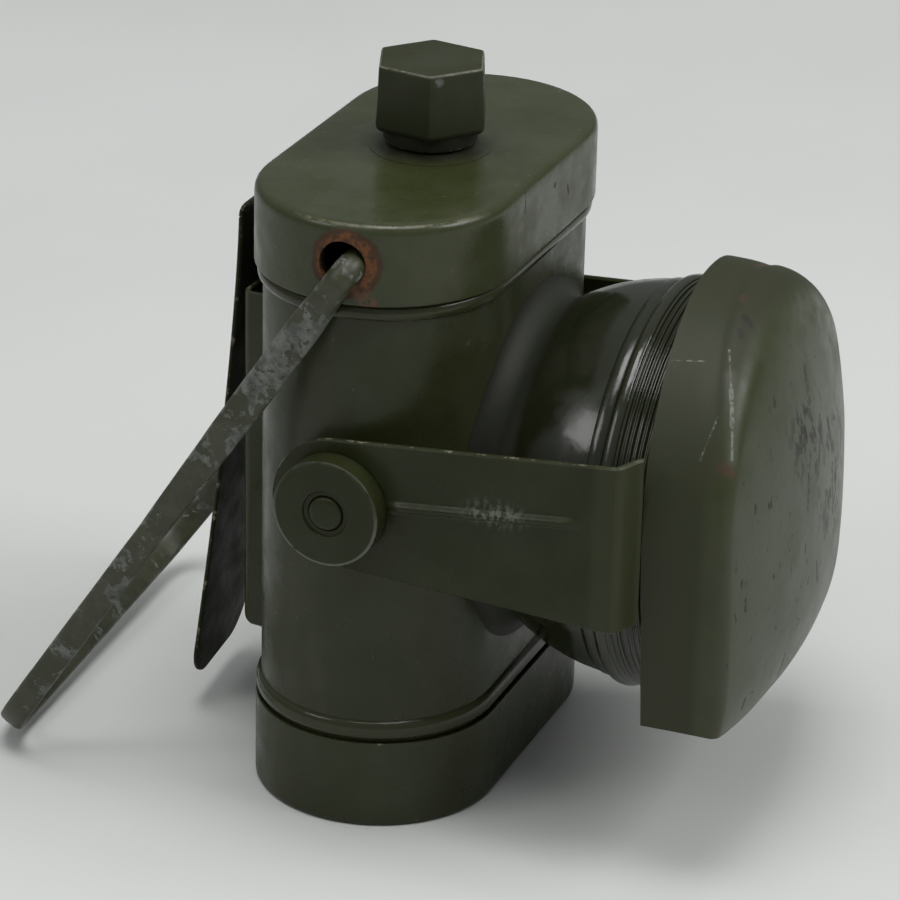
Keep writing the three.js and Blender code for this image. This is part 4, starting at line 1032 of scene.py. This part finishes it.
        streaks = w.patches((0.51, 0.58), 1.7, 5, 0.65, w.moved((0.4, 0, 0), (1, 1, 0.45)))
        worst = w.either(w.spot((-5, -66, 67), 11, 0.7), w.spot((8, -67, 55), 15, 0.7))
        sparse = w.both(w.span(depth, -60, -63.5),
                        w.patches((0.645, 0.68), 1.2, 4, 0.6, w.moved((0.7, 0, 0), (1, 1, 0.4))))
        dark = w.either(w.both(chipped, broken), w.both(streaks, worst), sparse)
        halo = w.both(w.stroke((-20.5, -57.6, 81.2), (-28.3, -61.0, 71.2), 1.5, 0.9), 0.45)
        # painted light: the front, which faces the light, is painted lighter in broad patches; painted shade: the wall
        # is painted darker than the rest of the hood
        front = w.both(w.span(depth, -60.5, -64), w.patches((0.25, 0.60, 0.35, 0.75), 12, 4, 0.6))
        wall = w.span(depth, -60, -57.5)
        return [(wall, (0.025, 0.0285, 0.011), 0.56), (front, (0.056, 0.063, 0.041), 0.33),
                (halo, (0.085, 0.09, 0.07), 0.5),
                (w.both(grazed, w.patches((0.46, 0.62), 0.8, 5, 0.8)), (0.16, 0.17, 0.14), 0.5),
                (w.both(scratched, broken, 0.8), (0.20, 0.21, 0.18), 0.45),
                (w.both(dark, 0.85), (0.013, 0.012, 0.010), 0.55),
                (w.both(primed, broken, 0.55), (0.075, 0.030, 0.020), 0.6)]

    def build_arm(self, size, side, end):
        """One flat arm: round over the pivot, then widening, then bent in to the hood's rim."""
        sheet = size.arm_sheet
        middle = side * (38.2 * mm + sheet / 2)
        rim = self.rim_depth - side * size.half_width * math.sin(self.yaw)
        tab = (size.half_width - size.sheet / 2) * math.cos(self.yaw)
        fold = rim - 3.3 * mm
        rise, drop, reach = (14.4 if side < 0 else 13.0) * mm, 13 * mm, 10.6 * mm
        stations = []       # each a point of the arm's middle line, and how far the arm reaches up and down there
        for angle in steps_of(math.pi / 2, 12):
            round_end = reach * math.sin(angle)
            stations.append((Vector((middle, PIVOT_Y + reach * math.cos(angle), 0)), round_end, round_end))
        run = fold + PIVOT_Y
        for k in range(1, 41):
            part = k / 40
            stations.append((Vector((middle, PIVOT_Y - run * part, 0)), reach + (rise - reach) * part,
                             reach + (drop - reach) * part))
        last = stations.pop()[0]
        end_point = Vector((side * tab, -rim + FIT, 0))
        for k in range(1, 13):
            part = k / 12
            ease = part * part * (3 - 2 * part)
            sway = Vector((last.x + (end_point.x - last.x) * ease, last.y + (end_point.y - last.y) * part, 0))
            stations.append((sway, rise, drop))
        rings = []
        for i, (point, up, down) in enumerate(stations):
            along = heading([station[0] for station in stations], i)
            outward = Vector((along.y, -along.x, 0))
            if outward.x * side < 0:
                outward.negate()
            rings.append(self.arm_section(size, point, outward, up, down))
        hole = rod(PIVOT_BORE, 30 * mm, 46 * mm, sideways(side, PIVOT_Y, PIVOT_Z))
        mesh = drilled(make_mesh("hood_arm", *loft(rings, "cap")), hole)
        finish = enamel(f"arm_enamel_{end}", 9 + side, self.arm_marks, 0.5, tint=0.84, shine=0.19)
        add_piece(f"ribbed_arm_{end}", mesh, finish, "hood", f"hood_arm_{end}", sharp=32)

    def arm_section(self, size, point, outward, up, down):
        """The arm's outline at one place along it, with rows of points close together where the rib runs."""
        sheet = size.arm_sheet
        high, low = max(up, 0.02 * mm), -max(down, 0.02 * mm)
        edge = min(0.3 * mm, (high - low) / 6)
        blend = min(1.0, max(0.0, (-6.0 * mm - (point.y - PIVOT_Y)) / (2 * mm)))
        middle, half = self.rib_middle(point.y - PIVOT_Y), 1.5 * mm
        outer = []
        for k in range(33):
            even = low + edge + (high - low - 2 * edge) * k / 32
            if k < 8:
                fitted = low + edge + (middle - half - low - edge) * k / 8
            elif k > 24:
                fitted = high - edge - (high - edge - middle - half) * (32 - k) / 8
            else:
                fitted = middle - half + 2 * half * (k - 8) / 16
            outer.append(even + (fitted - even) * blend)
        ring = []
        for z in outer:
            near_edge = min(z - low, high - z)
            ring.append((z, sheet / 2 + self.rib(size, point.y - PIVOT_Y, z), 0.5 if near_edge < 0.5 * mm else 0.0))
        ring += [(high, sheet / 2 - edge, 1.0), (high, -sheet / 2 + edge, 0.6)]
        ring += [(z, -sheet / 2 + self.rib(size, point.y - PIVOT_Y, z) * 0.9, 0.0) for z in outer[::-1]]
        ring += [(low, -sheet / 2 + edge, 0.5), (low, sheet / 2 - edge, 0.8)]
        return [(*(point + outward * out + Vector((0, 0, PIVOT_Z + z))), worn) for z, out, worn in ring]

    def rib_middle(self, y):
        """The height of the rib's middle, which climbs towards the hood."""
        return 1.2 * mm - 3.4 * mm * (y + 8.2 * mm) / (32.8 * mm)

    def rib(self, size, y, z):
        """The pressed rib's height at a place on the arm."""
        start, end = -8.2 * mm, -39.5 * mm
        part = (y - start) / (end - start)
        if part < 0 or part > 1:
            return 0.0
        fade = min(1.0, part / 0.04, (1 - part) / 0.03)
        away = abs(z - self.rib_middle(y)) / (1.25 * mm)
        return size.rib_rise * fade * (0.5 + 0.5 * math.cos(math.pi * min(1.0, away)))

    def arm_marks(self, w):
        """Faded patches, the tab painted lighter where it faces the light (painted light), and the hammered spot on the
        near arm.
        """
        hammered = w.both(w.spot((-39.6, -28, 60.4), 7, 0.7, (1, 1, 2.2)),
                          w.patches((0.46, 0.58), 0.7, 3, 0.6, w.moved(scale=(1, 1, 0.5))))
        depth = w.along("Y")
        # painted light: the bent tab, which faces the front light, is painted lighter
        tab = w.span(depth, -42.5, -44.5, 0.0, 0.6)
        faded = w.patches((0.55, 0.75, 0.0, 0.3), 5, 4, 0.6)
        return [(faded, (0.036, 0.041, 0.022), 0.42), (tab, (0.040, 0.046, 0.020), 0.36),
                (w.both(hammered, 0.7), (0.12, 0.13, 0.10), 0.4)]

    def build_pivot(self, size, side, end):
        """The boss, the riveted pin and the washer of one side."""
        place = sideways(side, PIVOT_Y, PIVOT_Z)
        face = 39.6 * mm
        front = face + 4 * mm
        outline = [(PIVOT_BORE, face), (size.boss_radius, face, 0.2 * mm), (size.boss_radius, front, 0.35 * mm),
                   (3.75 * mm, front, 0.15 * mm), (3.6 * mm, front - 0.45 * mm, 0.15 * mm),
                   (PIVOT_BORE, front - 0.45 * mm, 0.1 * mm)]
        outline = self.rim_worn(rounded(outline[::-1], 0.25 * mm, 0.25 * mm), 7 * mm)
        boss = turned_mesh("pivot_boss", outline, place, 80)
        finish = enamel(f"boss_enamel_{end}", 12 + side, self.boss_marks, 0.64, tint=0.82, shine=0.19)
        add_piece(f"round_boss_{end}", boss, finish, "case", f"pivot_boss_{end}")
        inner, tip = 34 * mm, front + 0.3 * mm
        head, shank = 3.4 * mm, 2.75 * mm
        outline = [(0.0, inner), (head, inner), (head, inner + 0.5 * mm), (shank, inner + 0.5 * mm),
                   (shank, tip - 0.45 * mm, 0.3 * mm), (2.1 * mm, tip - 0.08 * mm, 0.4 * mm), (0.0, tip)]
        outline = self.rim_worn(rounded(outline[::-1], 0.15 * mm, 0.2 * mm, False), 9 * mm)
        pin = turned_mesh("pivot_pin", outline, place, 56, "open")
        finish = enamel(f"pin_enamel_{end}", 15 + side, None, 0.4, rough=0.3, tint=0.82, shine=0.19)
        add_piece(f"riveted_pin_{end}", pin, finish, "case", f"pivot_pin_{end}")
        outline = in_mm((2.9, 36.3), (7, 36.3), (7, 37.9), (2.9, 37.9))
        washer = turned_mesh("pivot_washer", rounded(outline[::-1], 0.3 * mm, 0.3 * mm), place, 64)
        add_piece(f"spacer_{end}", washer, finishes["worn_steel"], "case", f"pivot_washer_{end}", slot="worn_steel")

    def boss_marks(self, w):
        """Grey wear and a painted highlight along the front edge, most of it low down."""
        place = w.node("SeparateXYZ", {0: w.place})
        far = w.vector("LENGTH", w.vector("MULTIPLY", w.vector("SUBTRACT", w.place, (0, PIVOT_Y, PIVOT_Z)), (0, 1, 1)))
        front = w.span(w.math("ABSOLUTE", place.outputs["X"]), 43.1, 43.3)
        # worn metal and a painted highlight on the rim, strongest low down
        rim = w.both(w.span(far, 8.05, 8.3), front, w.span(place.outputs["Z"], 61, 53, 0.15, 1.0))
        return [(w.both(rim, w.patches((0.35, 0.5), 2, 5, 0.7)), (0.12, 0.125, 0.105), 0.42)]

    def rim_worn(self, outline, least):
        """The outline with wear left only beyond a radius."""
        return [(r, h, worn if r > least else 0.0) for r, h, worn in outline]


class OBJECT_OT_lamp_handle(bpy.types.Operator):
    """Build the carrying handle, a rod flattened along its arms, with its round ends turned into the lid's holes"""
    bl_idname = "object.lamp_handle"
    bl_label = "Carrying Handle"

    toe_in: length("Toe In", 0.9, "How far each arm leans inwards")
    corner: length("Corner", 9, "Radius of the handle's corners")
    twist: turn("Twist", 1.8, "Twist at the lid's holes")
    warp: turn("Warp", 1.9, "Further twist at the crossbar")
    reach: length("Rod Reach", 33.4, "Where the rod's inner end lies")
    slimming: share("Slimming", 0.80, "The crossbar's width as a share of the arms' width at the lid")

    def execute(self, context):
        size = context.scene.lamp_handle
        half = self.half_path(size)
        path = [(Vector((-p.x, 0, p.z)), shape) for p, shape in half] + [(p, shape) for p, shape in half[::-1]]
        hinge = (0, -1.7 * mm, 95.7 * mm)
        place = Matrix.Translation(hinge) @ Matrix.Rotation(size.tilt, 4, "X") @ Matrix.Rotation(self.twist, 4, "Z")
        rings = []
        for i, (point, (thick, wide, power)) in enumerate(path):
            across = Vector((0, 1, 0))
            normal = heading([step[0] for step in path], i).cross(across).normalized()
            ring = []
            for angle in steps_of(2 * math.pi, 24)[:-1]:
                c, s = math.cos(angle), math.sin(angle)
                a = math.copysign(abs(c) ** power, c) * thick
                b = math.copysign(abs(s) ** power, s) * wide
                spot = point + normal * a + across * b
                turn_by = self.warp * max(0.0, -spot.z / size.length)
                spot = Matrix.Rotation(turn_by, 4, "Z") @ spot
                ring.append((*(place @ spot), 1.0 if abs(s) > 0.8 else 0.0))
            rings.append(ring)
        mesh = uneven(make_mesh("carry_handle", *loft(rings, "cap")), 0.05 * mm, 4 * mm, 11.0)
        add_piece("bent_rod", mesh, finishes["worn_steel"], "handle", "carry_handle", slot="worn_steel", sharp=60)
        return {"FINISHED"}

    def half_path(self, size):
        """One half of the handle from its rod's inner end to the crossbar's middle, with each place's section:
        half thickness, half width and the power that squares it."""
        round_end = (size.rod, size.rod, 1.0)
        path = [(Vector((self.reach, 0, 0)), (size.rod * 0.8, size.rod * 0.8, 1.0)),
                (Vector((self.reach + 0.4 * mm, 0, 0)), round_end)]
        bend = 2.4 * mm
        span = size.half_span - 0.1 * mm
        path += [(Vector((self.reach + (span - bend - self.reach) * k / 4, 0, 0)), round_end) for k in range(1, 5)]
        path += [(Vector((span - bend + bend * math.sin(angle), 0, -bend + bend * math.cos(angle))), round_end)
                 for angle in steps_of(math.pi / 2, 12, 1)]
        foot = Vector((size.half_span - self.toe_in, 0, -size.length + self.corner))
        start = path[-1][0]
        path += [(start.lerp(foot, k / 60), self.section(size, k / 60)) for k in range(1, 61)]
        slim = self.section(size, 1.0)
        path += [(Vector((foot.x - self.corner + self.corner * math.cos(angle), 0,
                          foot.z - self.corner * math.sin(angle))), slim) for angle in steps_of(math.pi / 2, 12, 1)]
        end = path[-1][0]
        return path + [(end.lerp(Vector((0, 0, end.z)), k / 16), slim) for k in range(1, 16)]

    def section(self, size, part):
        """The arm's section at a share of its length below the lid: round at first, then hammered flat."""
        flat = min(1.0, part / 0.11)
        flat *= flat * (3 - 2 * flat)
        narrow = min(1.0, max(0.0, (part - 0.28) / 0.3))
        wide = size.width / 2 * (1 - (1 - self.slimming) * narrow)
        return tuple(a + (b - a) * flat for a, b in zip((size.rod, size.rod, 1.0), (size.thickness / 2, wide, 0.62)))


class OBJECT_OT_lamp_clip(bpy.types.Operator):
    """Build the bracket sleeve on the back and the sprung belt clip in it"""
    bl_idname = "object.lamp_clip"
    bl_label = "Sleeve and Clip"

    def execute(self, context):
        seat = 19.7 * mm
        self.build_sleeve(seat)
        self.build_hook(seat)
        self.build_rivets()
        self.build_leaf()
        return {"FINISHED"}

    def build_sleeve(self, seat):
        """The sleeve: two flanges on the case and a flat back between them, with the lower corners rounded."""
        back, half, flange, bend = 25.8 * mm, 13.0 * mm, 16.4 * mm, 1.2 * mm
        line = [Vector((flange, seat)), Vector((half + 0.4 * mm, seat))]
        corner = [Vector((half, seat + 0.4 * mm)), Vector((half, back - bend))]
        arc = [Vector((half - bend + bend * math.cos(turned), back - bend + bend * math.sin(turned)))
               for turned in steps_of(math.pi / 2, 5, 1)]
        line += corner + arc
        flat = [Vector((x * mm, back)) for x in (9, 5, 0, -5, -9)]
        line += flat + [Vector((-p.x, p.y)) for p in line[::-1]]
        ease, foot, top = 2.4 * mm, 18.8 * mm, 77.8 * mm
        spans = [(foot + (ease - math.sqrt(ease ** 2 - max(0.0, min(ease, point.y - back + ease)) ** 2)), top)
                 for point in line]
        rings = self.strip(line, spans, lambda a, b, w: (a, b, w))
        sleeve = make_mesh("back_sleeve", *loft(rings, "cap"))
        add_piece("bracket_sleeve", sleeve, enamel("sleeve_enamel", 18, None, 0.5), "case", "back_sleeve")

    def build_hook(self, seat):
        """The belt clip's leg in the sleeve, curled over at its top."""
        curl, crest = 3 * mm, 89.6 * mm
        line = [Vector((seat, z * mm)) for z in (34, 44, 54, 64, 74, 79)]
        line += [Vector((seat + 1.4 * mm * (k / 4), (80 + 9.6 * k / 4) * mm)) for k in range(5)]
        line += [Vector((24.1 * mm - curl * math.cos(turned), crest + curl * math.sin(turned)))
                 for turned in steps_of(math.pi, 12, 1)]
        rings = self.strip(line, [(-12 * mm, 12 * mm)] * len(line), lambda a, b, w: (w, a, b))
        hook = make_mesh("clip_anchor", *loft(rings, "cap"))
        finish = enamel("hook_enamel", 19, None, 0.5, rough=0.55, tint=0.6, shine=0.18)
        add_piece("clip_hook", hook, finish, "case", "clip_anchor")

    def build_rivets(self):
        """The two rivets that hold the clip's leg, turned as a row."""
        lowest, pitch = 43 * mm, 19 * mm
        outline = rounded(in_mm((0, 17.4), (3.2, 17.4), (3.2, 18), (1.8, 18), (1.8, 20.5), (3.2, 20.5),
                                (2.9, 21.05, 0.5), (0, 21.1)), 0.15 * mm, 0.1 * mm, False)
        rivets = turned_by_nodes("clip_rivets", outline, finishes["brass"], lowest, None, (2, pitch), 48, False)
        rivets.transform(Matrix.Scale(-1, 4, (0, 1, 0)))
        add_piece("clip_rivets", cleaned(rivets), finishes["brass"], "case", "clip_rivet_upper", "clip_rivet_lower",
                  slot="brass")

    def build_leaf(self):
        """The belt clip's sprung leaf: it stands out further towards its squared and slightly twisted tip."""
        near, stand_out, power = 27.1 * mm, 8.9, 1.35
        tip, foot, top, half, twist = 6 * mm, 5.4 * mm, 89.3 * mm, 12 * mm, 0.10
        shares = [k / 36 * 0.92 for k in range(36)] + [0.92 + 0.08 * math.sin(math.pi / 2 * k / 20) for k in range(21)]
        line = [Vector((near + stand_out * mm * part ** power, top - (top - foot) * part)) for part in shares]
        spans = []
        for point in line:
            past = max(0.0, foot + tip - point.y)
            narrow = tip - math.sqrt(max(tip * tip - past * past, (0.5 * mm) ** 2)) if past else 0.0
            spans.append((-half + narrow, half - narrow))

        def bent(out, height, across):
            return across, out + twist * (across + half) * ((top - height) / (top - foot)) ** 2, height

        leaf = make_mesh("clip_leaf", *loft(self.strip(line, spans, bent), "cap"))
        finish = enamel("leaf_enamel", 20, None, 0.5, rough=0.55, tint=0.6, shine=0.14)
        add_piece("clip_spring", leaf, finish, "clip", "clip_leaf")

    def strip(self, line, spans, place):
        """Rings of a bent strip of sheet: line is its middle, spans its two edges across at each point of the line."""
        ease, half = 0.25 * mm, 0.8 * mm / 2
        rings = []
        for i, point in enumerate(line):
            along = heading(line, i)
            normal = Vector((-along.y, along.x))
            first, last = spans[i]
            cuts = [(first, -half + ease, 0.9), (first, half - ease, 0.9), (first + ease, half, 0.8),
                    (first + 1.2 * mm, half, 0.0), (first * 0.4 + last * 0.6, half, 0.0), (last - 1.2 * mm, half, 0.0),
                    (last - ease, half, 0.8), (last, half - ease, 0.9), (last, -half + ease, 0.9),
                    (last - ease, -half, 0.8), (last - 1.2 * mm, -half, 0.0), (first * 0.4 + last * 0.6, -half, 0.0),
                    (first + 1.2 * mm, -half, 0.0), (first + ease, -half, 0.8)]
            rings.append([(*place(point.x + normal.x * out, point.y + normal.y * out, across), worn)
                          for across, out, worn in cuts])
        return rings


class OBJECT_OT_lamp_stage(bpy.types.Operator):
    """Set the plain floor, the soft studio light and the camera"""
    bl_idname = "object.lamp_stage"
    bl_label = "Stage"

    def execute(self, context):
        scene = context.scene
        look = scene.lamp_stage
        scene.view_settings.view_transform = "Standard"
        mesh = bpy.data.meshes.new("floor")
        reach = 4.0
        corners = ((-reach, -reach, 0), (reach, -reach, 0), (reach, reach, 0), (-reach, reach, 0))
        mesh.from_pydata(corners, [], [(0, 1, 2, 3)])
        floor = bpy.data.objects.new("floor", mesh)
        scene.collection.objects.link(floor)
        w = Wiring("floor_finish")
        tone = w.noise(120, 4, 0.55)
        base = w.blend(w.ramp(tone, 0.3, 0.7), tuple(c * 0.96 for c in look.floor[:3]) + (1,), tuple(look.floor))
        mesh.materials.append(w.shade(base, 0.85))

        scene.world = bpy.data.worlds.new("studio")
        scene.world.use_nodes = True
        sky = scene.world.node_tree
        background = sky.nodes["Background"]
        background.inputs["Color"].default_value = (0.95, 0.98, 1.0, 1)
        aim = wired(sky, "ShaderNodeTexCoord").outputs["Generated"]
        height = wired(sky, "ShaderNodeSeparateXYZ", {0: aim}).outputs["Z"]
        fade = wired(sky, "ShaderNodeMapRange", {"Value": height, "To Min": look.sky * 0.35, "To Max": look.sky})
        seen = wired(sky, "ShaderNodeLightPath").outputs["Is Camera Ray"]
        strength = wired(sky, "ShaderNodeMix", {"Factor": seen, "A": fade.outputs["Result"], "B": look.backdrop})
        sky.links.new(strength.outputs["Result"], background.inputs["Strength"])

        self.soft_light("window_light", (-0.80, 0.74, 0.93), 0.45, 0.45, look.key)
        self.soft_light("front_light", (0.15, -1.05, 1.0), 0.7, 0.6, look.front)
        self.soft_light("top_light", (-0.15, -0.05, 1.3), 0.6, 0.6, look.top)

        # The camera fitted to the photograph: its axes, its focal length in pixels and its place in millimetres
        focal, photo_width, sensor = 4107.75, 900, 36
        distance, shift_right, shift_down, aim_height = 663.6, 4.215, 0.301, 50
        right = Vector((0.38037, -0.92457, 0.02181))
        up = Vector((0.37132, 0.17428, 0.91201))
        back = Vector((-0.84702, -0.33881, 0.40960))
        camera = bpy.data.objects.new("camera", bpy.data.cameras.new("camera"))
        camera.data.lens = focal / photo_width * sensor
        camera.data.sensor_width = sensor
        camera.data.clip_start = 0.01
        centre = (Vector((0, 0, aim_height * mm)) + back * distance * mm + right * shift_right * mm
                  - up * shift_down * mm)
        turn_to = Matrix((right, up, back)).transposed().to_4x4()
        camera.matrix_world = Matrix.Translation(centre) @ turn_to
        scene.collection.objects.link(camera)
        scene.camera = camera
        return {"FINISHED"}

    def soft_light(self, name, place, width, height, power):
        """A soft area light, aimed at the lamp."""
        data = bpy.data.lights.new(name, "AREA")
        data.shape = "RECTANGLE"
        data.size, data.size_y, data.energy = width, height, power
        light = bpy.data.objects.new(name, data)
        light.location = place
        light.rotation_euler = (Vector(place) - Vector((0, 0, 0.05))).to_track_quat("Z", "Y").to_euler()
        bpy.context.scene.collection.objects.link(light)


class VIEW3D_PT_bicycle_lamp(bpy.types.Panel):
    """Sizes, finishes and steps of the bicycle lamp"""
    bl_idname = "VIEW3D_PT_bicycle_lamp"
    bl_label = "Bicycle Lamp"
    bl_space_type = "VIEW_3D"
    bl_region_type = "UI"
    bl_category = "Bicycle Lamp"

    def draw(self, context):
        for group in GROUPS:
            box = self.layout.box()
            settings = getattr(context.scene, group)
            for name in settings.bl_rna.properties.keys():
                if name not in ("rna_type", "name"):
                    box.prop(settings, name)
        for operator in OPERATORS:
            self.layout.operator(operator.bl_idname)


GROUPS = {
    "lamp_case": LampCaseSizes,
    "lamp_head": LampHeadSizes,
    "lamp_hood": LampHoodSizes,
    "lamp_handle": LampHandleSizes,
    "lamp_finishes": LampFinishes,
    "lamp_stage": LampStageLook,
}
OPERATORS = (
    OBJECT_OT_lamp_finishes,
    OBJECT_OT_lamp_case,
    OBJECT_OT_lamp_switch,
    OBJECT_OT_lamp_head,
    OBJECT_OT_lamp_hood,
    OBJECT_OT_lamp_handle,
    OBJECT_OT_lamp_clip,
    OBJECT_OT_lamp_stage,
)


def register():
    for made in (*GROUPS.values(), *OPERATORS, VIEW3D_PT_bicycle_lamp):
        bpy.utils.register_class(made)
    for name, group in GROUPS.items():
        setattr(bpy.types.Scene, name, bpy.props.PointerProperty(type=group))


def unregister():
    for name in GROUPS:
        delattr(bpy.types.Scene, name)
    for made in (VIEW3D_PT_bicycle_lamp, *reversed(OPERATORS), *reversed(GROUPS.values())):
        bpy.utils.unregister_class(made)


def main():
    register()
    bpy.ops.object.lamp_finishes()
    bpy.ops.object.lamp_case()
    bpy.ops.object.lamp_switch()
    bpy.ops.object.lamp_head()
    bpy.ops.object.lamp_hood()
    bpy.ops.object.lamp_handle()
    bpy.ops.object.lamp_clip()
    bpy.ops.object.lamp_stage()


if __name__ == "__main__":
    main()
